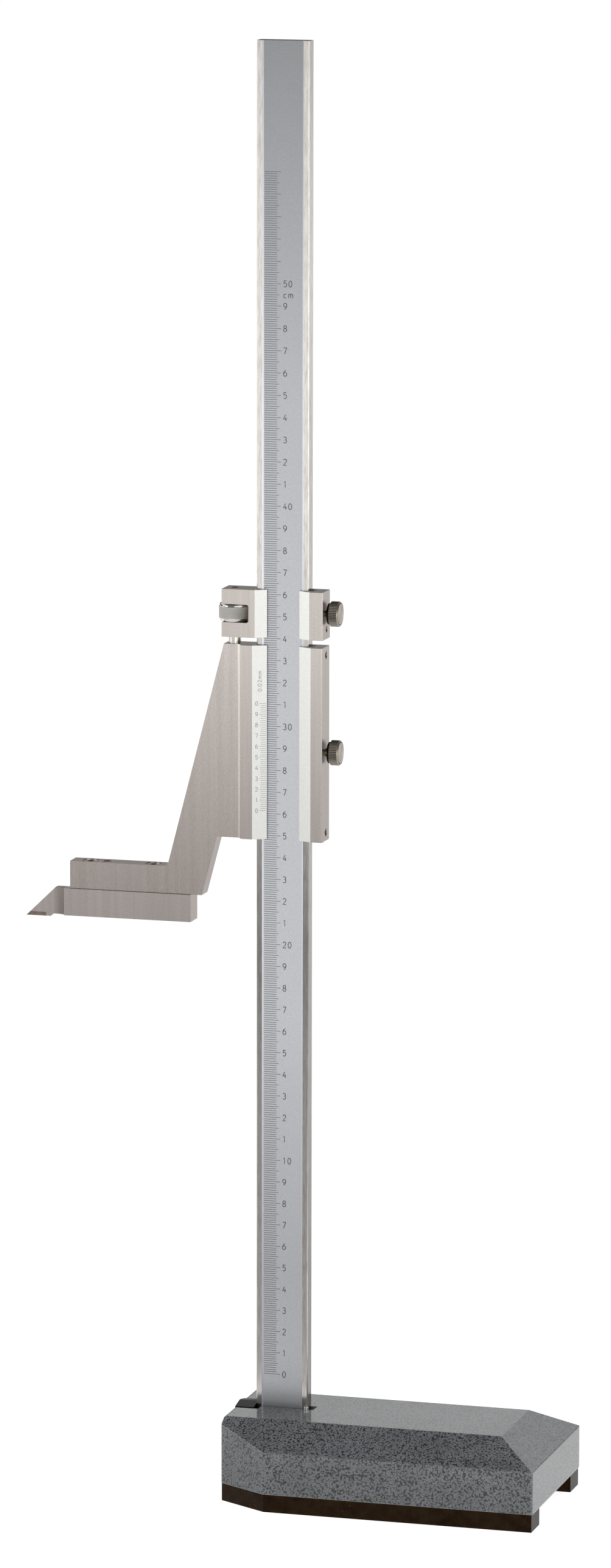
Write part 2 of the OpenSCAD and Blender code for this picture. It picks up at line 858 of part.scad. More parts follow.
module fine_nut() {
    r = nut_d / 2;
    bore_r = rod_d / 2 + slide_gap;
    color(knurled)
        translate([-rod_x, 0, window_z + nut_gap])
            rotate_extrude($fn = 96)
                polygon([
                    [bore_r, 0], [r - nut_shoulder, 0], [r, nut_shoulder], [r, nut_h - nut_shoulder],
                    [r - nut_shoulder, nut_h], [bore_r, nut_h]
                ]);
}

base_casting();
base_sole();
sole_screws();
beam();
beam_clamp_block();
beam_clamp_screws();
beam_locating_pin();
slider_frame();
slider_gib();
slider_gib_screws();
slider_lock_plug();
slider_lock_screw();
scriber_blade();
carbide_tip();
scriber_screws();
scriber_dowel();
adjusting_screw();
fine_block();
fine_gib();
fine_gib_screw();
fine_lock_plug();
fine_lock_screw();
fine_nut();
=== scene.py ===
"""Looks of a vernier height gauge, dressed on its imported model.

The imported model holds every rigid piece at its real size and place. This script gives the pieces their
finishes, cuts the graduations and numerals, knurls the nut, and sets up the studio and the camera.
Blender works in metres, and mm() turns the millimetres of a maker's drawing into them.
"""
import logging
import math
from collections.abc import Sequence
from dataclasses import dataclass
from enum import Enum

import bmesh
import bpy
from mathutils import Matrix, Vector


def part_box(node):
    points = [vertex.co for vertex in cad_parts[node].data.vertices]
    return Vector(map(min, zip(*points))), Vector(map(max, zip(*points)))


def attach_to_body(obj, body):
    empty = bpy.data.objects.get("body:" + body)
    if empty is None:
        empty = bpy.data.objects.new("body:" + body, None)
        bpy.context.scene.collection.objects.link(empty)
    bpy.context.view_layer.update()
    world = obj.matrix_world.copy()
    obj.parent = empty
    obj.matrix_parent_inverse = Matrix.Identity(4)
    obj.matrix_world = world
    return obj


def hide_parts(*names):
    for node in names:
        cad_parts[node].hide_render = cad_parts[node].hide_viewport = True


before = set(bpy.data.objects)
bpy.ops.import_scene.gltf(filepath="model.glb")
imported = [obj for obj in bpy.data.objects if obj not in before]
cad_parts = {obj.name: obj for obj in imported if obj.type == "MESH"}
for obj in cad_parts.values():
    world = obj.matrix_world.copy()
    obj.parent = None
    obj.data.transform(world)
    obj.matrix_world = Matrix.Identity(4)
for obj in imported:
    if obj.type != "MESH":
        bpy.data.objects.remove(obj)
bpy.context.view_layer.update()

log = logging.getLogger("height_gauge")

Point = tuple[float, float]
Stroke = list[Point]
Tree = bpy.types.NodeTree
Node = bpy.types.Node
Socket = bpy.types.NodeSocket


def mm(value: float) -> float:
    """Returns a length given in millimetres in metres."""
    return value * 0.001


def srgb(code: str) -> tuple[float, float, float, float]:
    """Turns an sRGB hex colour to the linear one that shaders take.

    Args:
        code: the colour as #rrggbb.

    Returns:
        Red, green, blue and an opaque alpha.
    """
    channels = [int(code[i:i + 2], 16) / 255 for i in (1, 3, 5)]
    linear = [c / 12.92 if c <= 0.04045 else ((c + 0.055) / 1.055) ** 2.4 for c in channels]
    return (linear[0], linear[1], linear[2], 1.0)


def add_node(tree: Tree, kind: str, inputs: Sequence | dict = (), **settings: object) -> Node:
    """Adds a node to a tree.

    Args:
        tree: the shader or geometry tree.
        kind: the node's type.
        inputs: a value, a socket or a node for each input in use, in their order, or by name in a
            dictionary. A node stands for its first output in use.
        settings: properties to set on the node.

    Returns:
        The new node.
    """
    node = tree.nodes.new(kind)
    for name, value in settings.items():
        setattr(node, name, value)
    if isinstance(inputs, dict):
        pairs = [(node.inputs[name], value) for name, value in inputs.items()]
    else:
        pairs = list(zip([socket for socket in node.inputs if socket.enabled], inputs))
    for socket, value in pairs:
        if isinstance(value, Node):
            value = next(output for output in value.outputs if output.enabled)
        if isinstance(value, Socket):
            tree.links.new(value, socket)
        else:
            socket.default_value = value
    return node


def coloured(tree: Tree, pattern: Node, places: Sequence[float], *colours: str) -> Node:
    """Colours a pattern by a run of stops.

    Args:
        tree: the shader tree.
        pattern: the pattern, from 0 to 1.
        places: where the colours stand in the pattern.
        colours: the sRGB colours there.

    Returns:
        The colour's node.
    """
    node = add_node(tree, "ShaderNodeValToRGB", [pattern])
    elements = node.color_ramp.elements
    for element, i in zip(elements, (0, -1)):
        element.position, element.color = places[i], srgb(colours[i])
    for place, colour in list(zip(places, colours))[1:-1]:
        elements.new(place).color = srgb(colour)
    return node


def piece_axes(tree: Tree) -> Node:
    """Returns the node with X, Y and Z of the place on the piece, in metres in the shared frame."""
    return add_node(tree, "ShaderNodeSeparateXYZ", [add_node(tree, "ShaderNodeTexCoord").outputs["Object"]])


def grains(tree: Tree, size: Sequence[float], detail: float = 2.0, distortion: float = 0.0,
           place: Node | None = None) -> Node:
    """Makes a noise whose grains have a real size along each axis.

    Args:
        tree: the shader tree.
        size: the grain's size in millimetres along X, Y and Z.
        detail: how many finer layers it has.
        distortion: how much the grains are drawn out into worms.
        place: the place that it is read at, or None for the place on the piece.

    Returns:
        The pattern's node, from 0 to 1.
    """
    spot = place or add_node(tree, "ShaderNodeTexCoord").outputs["Object"]
    scaled = add_node(tree, "ShaderNodeMapping", {"Vector": spot, "Scale": [1 / mm(s) for s in size]})
    return add_node(tree, "ShaderNodeTexNoise", {
        "Vector": scaled, "Scale": 1.0, "Detail": detail, "Roughness": 0.6, "Distortion": distortion})


def within(tree: Tree, value: Socket | Node, span: Point) -> Node:
    """Returns 1 where a value lies in a span, and 0 elsewhere."""
    middle, half = (span[0] + span[1]) / 2, (span[1] - span[0]) / 2
    return add_node(tree, "ShaderNodeMath", [value, middle, half], operation="COMPARE")


def across_grain(tree: Tree) -> Node:
    """Finds the direction across marks that run along Z, which spread a glint sideways.

    Args:
        tree: the shader tree.

    Returns:
        The direction's node. On the level faces it points along X.
    """
    facing = add_node(tree, "ShaderNodeNewGeometry").outputs["Normal"]
    level = add_node(tree, "ShaderNodeVectorMath", [(0.0, 0.0, 1.0), facing], operation="CROSS_PRODUCT")
    return add_node(tree, "ShaderNodeVectorMath", [level, (0.001, 0.0, 0.0)])


def facing_aside(tree: Tree, least: float = 0.9) -> Node:
    """Finds the sides of a piece.

    Args:
        tree: the shader tree.
        least: how squarely a side faces along X, from 0 to 1.

    Returns:
        The node that gives 1 where the surface faces +X or -X, and 0 elsewhere.
    """
    facing = add_node(tree, "ShaderNodeNewGeometry").outputs["True Normal"]
    aside = add_node(tree, "ShaderNodeSeparateXYZ", [facing]).outputs["X"]
    steep = add_node(tree, "ShaderNodeMath", [aside], operation="ABSOLUTE")
    return add_node(tree, "ShaderNodeMath", [steep, least], operation="GREATER_THAN")


@dataclass(frozen=True)
class Finish:
    """A surface as it was made. Each kind of finish shades itself.

    Its edges are rounded by a small radius, and its pattern raises it by a depth, of which the relief's
    share shows. Its two tones stand at the spread's places in their pattern.
    """

    name: str
    metallic: float = 1.0
    roughness: float = 0.25
    edge_mm: float = 0.15
    edge_samples: int = 6
    depth_mm: float = 0.006
    relief: float = 0.15
    spread: Point = (0.3, 0.7)

    def material(self) -> bpy.types.Material:
        """Makes this finish's material once.

        Returns:
            The material.
        """
        found = bpy.data.materials.get(self.name)
        if found is None:
            found = bpy.data.materials.new(self.name)
            found.use_nodes = True
            found.node_tree.nodes.clear()
            add_node(found.node_tree, "ShaderNodeOutputMaterial", {"Surface": self.shade(found.node_tree)})
        return found

    def shade(self, tree: Tree) -> Node:
        """Builds the finish in a shader tree and returns its shader."""
        raise NotImplementedError

    def surface(self, tree: Tree, colour: Node, pattern: Node, more: dict) -> Node:
        """Adds the shader, with the finish's edges and relief.

        Args:
            tree: the shader tree.
            colour: the colour.
            pattern: the relief's pattern, from 0 to 1.
            more: the shader's other inputs, by name.

        Returns:
            The shader's node.
        """
        edges = add_node(tree, "ShaderNodeBevel", {"Radius": mm(self.edge_mm)}, samples=self.edge_samples)
        raised = add_node(tree, "ShaderNodeBump", {
            "Height": pattern, "Distance": mm(self.depth_mm), "Strength": self.relief, "Normal": edges})
        return add_node(tree, "ShaderNodeBsdfPrincipled", {
            "Base Color": colour, "Metallic": self.metallic, "Roughness": self.roughness,
            "Normal": raised, **more})


@dataclass(frozen=True)
class HammertoneEnamel(Finish):
    """Hammertone enamel, sprayed on cast iron and stoved.

    Its flake gathers in blobs about a millimetre wide, with thin worms of dark resin between them, under
    a clear glossy skin that mirrors the beam on the flat top. Its edges are painted nearly white, a
    painted highlight where a rounded edge would catch the lamps.
    """

    name: str = "hammertone_enamel"
    metallic: float = 0.0
    roughness: float = 0.45
    edge_mm: float = 0.7
    depth_mm: float = 0.05
    relief: float = 0.3
    resin: str = "#343a36"
    middle: str = "#676c6b"
    flake: str = "#9fa1a8"
    tone_places: tuple[float, float, float] = (0.24, 0.37, 0.56)
    blob_mm: float = 0.78
    blob_reach: float = 0.85
    sway: float = 0.8
    sway_scale: float = 1.2
    grit_mm: float = 0.45
    grit_curl: float = 0.4
    grit_share: float = 0.3
    thin_edge: str = "#ffffff"
    thin_mm: float = 0.45
    thin_turn: Point = (0.998, 0.96)
    thin_most: float = 0.8
    cloud_mm: float = 14.0
    cloud_shade: str = "#e0e2e0"

    def blobs(self, tree: Tree) -> Node:
        """Draws the flake: high in the middle of a blob, with grit at its edge.

        Args:
            tree: the shader tree.

        Returns:
            The pattern's node.
        """
        grit = grains(tree, [self.grit_mm] * 3, detail=1.0, distortion=self.grit_curl)
        spot = add_node(tree, "ShaderNodeMapping", {
            "Vector": add_node(tree, "ShaderNodeTexCoord").outputs["Object"],
            "Scale": [1 / mm(self.blob_mm)] * 3})
        drift = add_node(tree, "ShaderNodeTexNoise", {"Vector": spot, "Scale": self.sway_scale})
        swayed = add_node(tree, "ShaderNodeVectorMath", [drift.outputs["Color"], [self.sway] * 3, spot],
                          operation="MULTIPLY_ADD")
        cells = add_node(tree, "ShaderNodeTexVoronoi", {"Vector": swayed, "Scale": 1.0})
        reach = add_node(tree, "ShaderNodeMath", [grit, self.grit_share, self.blob_reach],
                         operation="MULTIPLY_ADD")
        return add_node(tree, "ShaderNodeMath", [reach, cells], operation="SUBTRACT")

    def thin_mask(self, tree: Tree) -> Node:
        """Finds where the edge's painted highlight goes: on an edge, where the rounded normal turns away.

        Args:
            tree: the shader tree.

        Returns:
            The node that says how strongly the highlight is painted.
        """
        rounded = add_node(tree, "ShaderNodeBevel", {"Radius": mm(self.thin_mm)}, samples=self.edge_samples)
        flat = add_node(tree, "ShaderNodeNewGeometry").outputs["True Normal"]
        turned = add_node(tree, "ShaderNodeVectorMath", [rounded, flat], operation="DOT_PRODUCT")
        return add_node(tree, "ShaderNodeMapRange", [turned, *self.thin_turn, 0.0, self.thin_most])

    def shade(self, tree: Tree) -> Node:
        """Builds the finish in a shader tree.

        Args:
            tree: the shader tree.

        Returns:
            The shader's node.
        """
        blobs = self.blobs(tree)
        colour = coloured(tree, blobs, self.tone_places, self.resin, self.middle, self.flake)
        # Paints the edges nearly white, a painted highlight where a rounded edge would catch the lamps.
        colour = add_node(tree, "ShaderNodeMix", [self.thin_mask(tree), colour, srgb(self.thin_edge)],
                          data_type="RGBA")
        cloud = coloured(tree, grains(tree, [self.cloud_mm] * 3), self.spread, self.cloud_shade, "#ffffff")
        colour = add_node(tree, "ShaderNodeMix", [1.0, colour, cloud],
                          data_type="RGBA", blend_type="MULTIPLY")
        skin = add_node(tree, "ShaderNodeBevel", {"Radius": mm(self.edge_mm)}, samples=self.edge_samples)
        return self.surface(tree, colour, blobs, {
            "Specular IOR Level": 0.1, "Coat Weight": 1.0, "Coat Roughness": 0.05, "Coat IOR": 1.5,
            "Coat Normal": skin})


@dataclass(frozen=True)
class GroundSteel(Finish):
    """Hardened stainless steel, finished on a surface grinder.

    The wheel leaves short fine marks along Z and faint broad bands, with a soft silver glint. The
    sides, which face along X, are painted a shade darker, as painted shade. The two satin bands are
    faces of the same piece that were satin-chromed after grinding, nearly white. The hollow is a range
    of X that is painted darker, as painted shade in the hollow. Over the rise, a range of Z, it is
    painted darker and warmer towards the lower end, as painted shade. Real marks are too fine to
    show, so they are drawn coarser.
    """

    name: str = "ground_steel"
    dark: str = "#bab2ac"
    light: str = "#cdc6c0"
    spread: Point = (0.34, 0.66)
    mark_mm: float = 0.2
    mark_run_mm: float = 0.8
    sweep_mm: float = 2.6
    sweep_run_mm: float = 90.0
    sweep_share: float = 0.35
    stretch: float = 0.85
    side_shade: str = "#eceae8"
    hollow: Point | None = None
    hollow_shade: str = "#7d766f"
    hollow_start: float = 0.15
    rise: Point | None = None
    low_shade: str = "#e7e3e3"
    bands: tuple[Point, ...] = ()
    band_front: float = mm(-3.6)
    satin_dark: str = "#e7e7e3"
    satin_light: str = "#f1f1ed"
    satin_spread: Point = (0.35, 0.65)
    satin_mm: float = 0.5
    satin_roughness: float = 0.5

    def band_mask(self, tree: Tree, axes: Node) -> Node:
        """Masks the satin bands, which are ranges of X on the front.

        Args:
            tree: the shader tree.
            axes: the node that splits the place on the piece.

        Returns:
            The node that gives 1 inside the bands and 0 elsewhere.
        """
        sides = [within(tree, axes.outputs["X"], band) for band in self.bands]
        either = add_node(tree, "ShaderNodeMath", sides, operation="MAXIMUM")
        ahead = add_node(tree, "ShaderNodeMath", [axes.outputs["Y"], self.band_front], operation="LESS_THAN")
        return add_node(tree, "ShaderNodeMath", [either, ahead], operation="MULTIPLY")

    def tinted(self, tree: Tree, axes: Node, colour: Node) -> Node:
        """Lays the painted shade of the hollow and of the rise over the ground colour.

        Args:
            tree: the shader tree.
            axes: the node that splits the place on the piece.
            colour: the ground colour.

        Returns:
            The colour's node.
        """
        # Paints the hollow darker towards the shank, as painted shade in the concave fillet.
        if self.hollow:
            deeper = add_node(tree, "ShaderNodeMapRange",
                              [axes.outputs["X"], *self.hollow, self.hollow_start, 1.0])
            sunk = add_node(tree, "ShaderNodeMath", [within(tree, axes.outputs["X"], self.hollow), deeper],
                            operation="MULTIPLY")
            colour = add_node(tree, "ShaderNodeMix", [sunk, colour, srgb(self.hollow_shade)],
                              data_type="RGBA")
        # Paints the lower end darker and warmer, as painted shade.
        if self.rise:
            lower = add_node(tree, "ShaderNodeMapRange", [axes.outputs["Z"], *self.rise, 1.0, 0.0])
            colour = add_node(tree, "ShaderNodeMix", [lower, colour, srgb(self.low_shade)],
                              data_type="RGBA", blend_type="MULTIPLY")
        return colour

    def shade(self, tree: Tree) -> Node:
        """Builds the finish in a shader tree.

        Args:
            tree: the shader tree.

        Returns:
            The shader's node.
        """
        axes = piece_axes(tree)
        marks = grains(tree, (self.mark_mm, self.mark_mm, self.mark_run_mm))
        sweep = grains(tree, (self.sweep_mm, self.sweep_mm, self.sweep_run_mm))
        ground = add_node(tree, "ShaderNodeMix", [self.sweep_share, marks, sweep])
        colour = coloured(tree, ground, self.spread, self.dark, self.light)
        # Paints the sides, which face along X, darker, as painted shade.
        colour = add_node(tree, "ShaderNodeMix", [facing_aside(tree), colour, srgb(self.side_shade)],
                          data_type="RGBA", blend_type="MULTIPLY")
        colour = self.tinted(tree, axes, colour)
        more = {"Anisotropic": self.stretch, "Tangent": across_grain(tree)}
        if self.bands:
            band = self.band_mask(tree, axes)
            satin = coloured(tree, grains(tree, [self.satin_mm] * 3), self.satin_spread,
                             self.satin_dark, self.satin_light)
            colour = add_node(tree, "ShaderNodeMix", [band, colour, satin], data_type="RGBA")
            more["Roughness"] = add_node(tree, "ShaderNodeMix", [band, self.roughness, self.satin_roughness])
        return self.surface(tree, colour, marks, more)


@dataclass(frozen=True)
class SatinChromeScale(Finish):
    """Ground beam with its recessed face satin-chromed for reading without glare.

    The face is a matt, faintly blue grey. The strips beside it and the edges keep the bright,
    lengthwise grind, with faint brownish clouds in it. Each is painted lighter or darker along parts
    of its height, as painted light and shade, mostly darker towards the bottom and the top, given as
    heights in millimetres with the tone there. The satin grain and the marks are drawn coarser than
    real ones, which are too fine to show.
    """

    name: str = "satin_chrome_scale"
    roughness: float = 0.22
    depth_mm: float = 0.005
    satin_dark: str = "#dbdde2"
    satin_light: str = "#e8eaed"
    satin_spread: Point = (0.35, 0.65)
    satin_mm: float = 0.5
    satin_roughness: float = 0.43
    strip_dark: str = "#bfb8b2"
    strip_light: str = "#dad7d3"
    spread: Point = (0.34, 0.6)
    mark_mm: tuple[float, float, float] = (0.28, 0.28, 6.0)
    cloud_mm: tuple[float, float, float] = (1.6, 1.6, 9.0)
    cloud_share: float = 0.5
    stretch: float = 0.85
    top_mm: float = 760.0
    face_wear: tuple[tuple[float, str], ...] = (
        (100.0, "#dadada"), (220.0, "#fbfbfb"), (380.0, "#fcfcfc"), (500.0, "#f0f0f0"), (700.0, "#b6b6b6"))
    strip_wear: tuple[tuple[float, str], ...] = (
        (180.0, "#f6f6f6"), (250.0, "#c6c6c6"), (310.0, "#d6d6d6"), (430.0, "#ffffff"), (700.0, "#e2e2e2"))
    side_wear: tuple[tuple[float, str], ...] = (
        (100.0, "#a4a4a4"), (300.0, "#dcdcdc"), (560.0, "#ffffff"), (690.0, "#c4c4c4"))
    face_half: float = mm(9.62)
    front: float = mm(-2.8)

    def shade(self, tree: Tree) -> Node:
        """Builds the finish in a shader tree.

        Args:
            tree: the shader tree.

        Returns:
            The shader's node.
        """
        axes = piece_axes(tree)
        ahead = add_node(tree, "ShaderNodeMath", [axes.outputs["Y"], self.front], operation="LESS_THAN")
        middle = within(tree, axes.outputs["X"], (-self.face_half, self.face_half))
        face = add_node(tree, "ShaderNodeMath", [middle, ahead], operation="MULTIPLY")
        satin = coloured(tree, grains(tree, [self.satin_mm] * 3), self.satin_spread,
                         self.satin_dark, self.satin_light)
        marks = grains(tree, self.mark_mm)
        clouds = grains(tree, self.cloud_mm, detail=3.0)
        ground = add_node(tree, "ShaderNodeMix", [self.cloud_share, marks, clouds])
        strip = coloured(tree, ground, self.spread, self.strip_dark, self.strip_light)
        bare = add_node(tree, "ShaderNodeMix", [face, strip, satin], data_type="RGBA")
        # Paints each part lighter or darker by its height, as painted light and shade.
        height = add_node(tree, "ShaderNodeMath", [axes.outputs["Z"], mm(self.top_mm)], operation="DIVIDE")
        face_tone, strip_tone, side_tone = (
            coloured(tree, height, [z / self.top_mm for z, _ in light_ramp], *[tone for _, tone in light_ramp])
            for light_ramp in (self.face_wear, self.strip_wear, self.side_wear))
        ground_tone = add_node(tree, "ShaderNodeMix", [facing_aside(tree), strip_tone, side_tone],
                               data_type="RGBA")
        tone = add_node(tree, "ShaderNodeMix", [face, ground_tone, face_tone], data_type="RGBA")
        colour = add_node(tree, "ShaderNodeMix", [1.0, bare, tone], data_type="RGBA", blend_type="MULTIPLY")
        return self.surface(tree, colour, marks, {
            "Roughness": add_node(tree, "ShaderNodeMix", [face, self.roughness, self.satin_roughness]),
            "Anisotropic": add_node(tree, "ShaderNodeMix", [face, self.stretch, 0.0]),
            "Tangent": across_grain(tree)})


@dataclass(frozen=True)
class BrownedSteel(Finish):
    """Ground tool steel, browned in hot salts and oiled: nearly black, with a warm sheen and pale specks."""

    name: str = "browned_steel"
    roughness: float = 0.4
    edge_mm: float = 0.35
    depth_mm: float = 0.02
    deep: str = "#21170e"
    worn: str = "#34271b"
    speck: str = "#9a6a40"
    spread: Point = (0.3, 0.75)
    cloud_mm: float = 5.0
    pit_mm: float = 0.7
    speck_span: Point = (0.77, 0.81)

    def shade(self, tree: Tree) -> Node:
        """Builds the finish in a shader tree.

        Args:
            tree: the shader tree.

        Returns:
            The shader's node.
        """
        cloud = coloured(tree, grains(tree, [self.cloud_mm] * 3, detail=4.0), self.spread,
                         self.deep, self.worn)
        pits = grains(tree, [self.pit_mm] * 3, detail=1.0)
        dots = add_node(tree, "ShaderNodeMapRange", [pits, *self.speck_span, 0.0, 1.0])
        colour = add_node(tree, "ShaderNodeMix", [dots, cloud, srgb(self.speck)], data_type="RGBA")
        return self.surface(tree, colour, pits, {})


@dataclass(frozen=True)
class BlackOxide(Finish):
    """Machined steel blackened in hot salts, a soft brown-black sheen over the turning marks."""

    name: str = "black_oxide"
    metallic: float = 0.75
    roughness: float = 0.3
    edge_mm: float = 0.2
    depth_mm: float = 0.01
    relief: float = 0.2
    low: str = "#15110e"
    high: str = "#3a332d"
    cloud_mm: tuple[float, float, float] = (3.0, 1.0, 1.0)

    def shade(self, tree: Tree) -> Node:
        """Builds the finish in a shader tree and returns its shader."""
        cloud = grains(tree, self.cloud_mm, detail=3.0)
        return self.surface(tree, coloured(tree, cloud, self.spread, self.low, self.high), cloud, {})


class Axis(Enum):
    """The axis that a turned piece spun about, as a unit vector."""

    X = (1.0, 0.0, 0.0)
    Z = (0.0, 0.0, 1.0)


@dataclass(frozen=True)
class TurnedSteel(Finish):
    """Steel turned on a lathe: fine rings about its axis, and a glint that the rings draw out.

    Beyond the rim radius the knurl's valleys are painted darker than its tips, as painted shade in
    the creases, and the ring between the groove's two radii is painted dark, as painted shade in the
    groove. The rings are drawn coarser than real ones, so that they show. The default rim and groove
    lie beyond any piece.
    """

    name: str = "turned_steel"
    roughness: float = 0.2
    edge_mm: float = 0.12
    depth_mm: float = 0.004
    relief: float = 0.1
    dark: str = "#8f8a84"
    light: str = "#dcd8d2"
    rim_dark: str = "#7d756b"
    rim_light: str = "#b3aba0"
    rim_depth: float = mm(0.3)
    groove_oxide: str = "#2a241f"
    ring_mm: float = 0.2
    stretch: float = 0.5
    axis: Axis = Axis.Z
    centre: tuple[float, float, float] = (0.0, 0.0, 0.0)
    rim: float = 1.0
    groove: Point = (1.0, 1.0)

    def shade(self, tree: Tree) -> Node:
        """Builds the finish in a shader tree.

        Args:
            tree: the shader tree.

        Returns:
            The shader's node.
        """
        spot = add_node(tree, "ShaderNodeTexCoord").outputs["Object"]
        arm = add_node(tree, "ShaderNodeVectorMath", [spot, self.centre], operation="SUBTRACT")
        along = add_node(tree, "ShaderNodeVectorMath", [arm, self.axis.value], operation="DOT_PRODUCT")
        round_way = add_node(tree, "ShaderNodeVectorMath", [self.axis.value, arm], operation="CROSS_PRODUCT")
        radius = add_node(tree, "ShaderNodeVectorMath", [round_way], operation="LENGTH")
        rings = grains(tree, (self.ring_mm, self.ring_mm, 1.0),
                       place=add_node(tree, "ShaderNodeCombineXYZ", [along, radius]))
        plain = coloured(tree, rings, self.spread, self.dark, self.light)
        # Paints the knurl's valleys darker than its tips, as painted shade in the creases.
        rise = add_node(tree, "ShaderNodeMapRange", [radius, self.rim, self.rim + self.rim_depth, 0.0, 1.0])
        rim = coloured(tree, rise, (0.0, 1.0), self.rim_dark, self.rim_light)
        outer = add_node(tree, "ShaderNodeMath", [radius, self.rim], operation="GREATER_THAN")
        colour = add_node(tree, "ShaderNodeMix", [outer, plain, rim], data_type="RGBA")
        # Paints the groove's ring dark, as painted shade in the groove.
        sunk = within(tree, radius, self.groove)
        colour = add_node(tree, "ShaderNodeMix", [sunk, colour, srgb(self.groove_oxide)], data_type="RGBA")
        return self.surface(tree, colour, rings, {"Anisotropic": self.stretch, "Tangent": round_way})


@dataclass(frozen=True)
class EtchedFill(Finish):
    """Etched line, filled with matt grey lacquer: no glint, a little uneven at its edges."""

    name: str = "etched_fill"
    roughness: float = 0.7
    dark: str = "#5f6268"
    light: str = "#74777c"
    patch_mm: float = 0.4

    def shade(self, tree: Tree) -> Node:
        """Builds the finish in a shader tree and returns its shader."""
        colour = coloured(tree, grains(tree, [self.patch_mm] * 3), self.spread, self.dark, self.light)
        return add_node(tree, "ShaderNodeBsdfPrincipled", {
            "Base Color": colour, "Roughness": self.roughness, "Specular IOR Level": 0.2})


class GeometryTool:
    """A Geometry Nodes tree with named inputs, which is applied to a piece and leaves a plain mesh."""

    def __init__(self, name: str) -> None:
        """Starts a tree with a mesh going in and a mesh coming out.

        Args:
            name: the tree's name.
        """
        self.tree = bpy.data.node_groups.new(name, "GeometryNodeTree")
        for way in ("INPUT", "OUTPUT"):
            self.tree.interface.new_socket("Geometry", in_out=way, socket_type="NodeSocketGeometry")
        self.entry = add_node(self.tree, "NodeGroupInput")
        self.keys: dict[str, str] = {}

    def value(self, name: str, kind: str = "Float") -> Socket:
        """Adds a named input.

        Args:
            name: the input's name.
            kind: what it holds, as its socket's type has it.

        Returns:
            Its socket inside the tree.
        """
        made = self.tree.interface.new_socket(name, in_out="INPUT", socket_type="NodeSocket" + kind)
        self.keys[name] = made.identifier
        return self.entry.outputs[name]

    def close(self, copies: Node) -> None:
        """Ends the tree: makes the copies real and gives them the material.

        Args:
            copies: the node that makes the copies.
        """
        real = add_node(self.tree, "GeometryNodeRealizeInstances", [copies])
        dressed = add_node(self.tree, "GeometryNodeSetMaterial",
                           {"Geometry": real, "Material": self.value("Finish", "Material")})
        add_node(self.tree, "NodeGroupOutput", [dressed])

    def apply(self, piece: bpy.types.Object, values: dict) -> None:
        """Runs the tree on a piece and keeps the result as its mesh.

        Args:
            piece: the object, whose mesh goes in.
            values: for each input's name, its value.
        """
        modifier = piece.modifiers.new(self.tree.name, "NODES")
        modifier.node_group = self.tree
        for name, value in values.items():
            modifier[self.keys[name]] = value
        made = piece.evaluated_get(bpy.context.evaluated_depsgraph_get())
        mesh = bpy.data.meshes.new_from_object(made)
        piece.modifiers.clear()
        piece.data = mesh


class GraduationTool(GeometryTool):
    """Rules a row of lines up Z, with longer ones at steady counts.

    Aside is where the middle of a line is from its row, as a share of its length.
    """

    def __init__(self) -> None:
        """Builds the tree."""
        super().__init__("graduation_lines")
        tree = self.tree
        step = add_node(tree, "ShaderNodeCombineXYZ", {"Z": self.value("Pitch")})
        row = add_node(tree, "GeometryNodeMeshLine", {"Count": self.value("Count", "Int"), "Offset": step})
        index = add_node(tree, "GeometryNodeInputIndex")
        length = self.value("Short")
        for name in ("Middle", "Long"):
            every = self.value(name + " Every", "Int")
            rest = add_node(tree, "ShaderNodeMath", [index, every], operation="MODULO")
            marked = add_node(tree, "ShaderNodeMath", [rest, 0.5], operation="LESS_THAN")
            length = add_node(tree, "ShaderNodeMix", [marked, length, self.value(name)])
        size = add_node(tree, "ShaderNodeCombineXYZ", [length, self.value("Proud"), self.value("Width")])
        bar = add_node(tree, "GeometryNodeMeshCube", {"Size": (1.0, 2.0, 1.0)})
        aside = add_node(tree, "ShaderNodeCombineXYZ", [self.value("Aside")])
        moved = add_node(tree, "GeometryNodeTransform", {"Geometry": bar, "Translation": aside})
        self.close(add_node(tree, "GeometryNodeInstanceOnPoints",
                            {"Points": row, "Instance": moved, "Scale": size}))


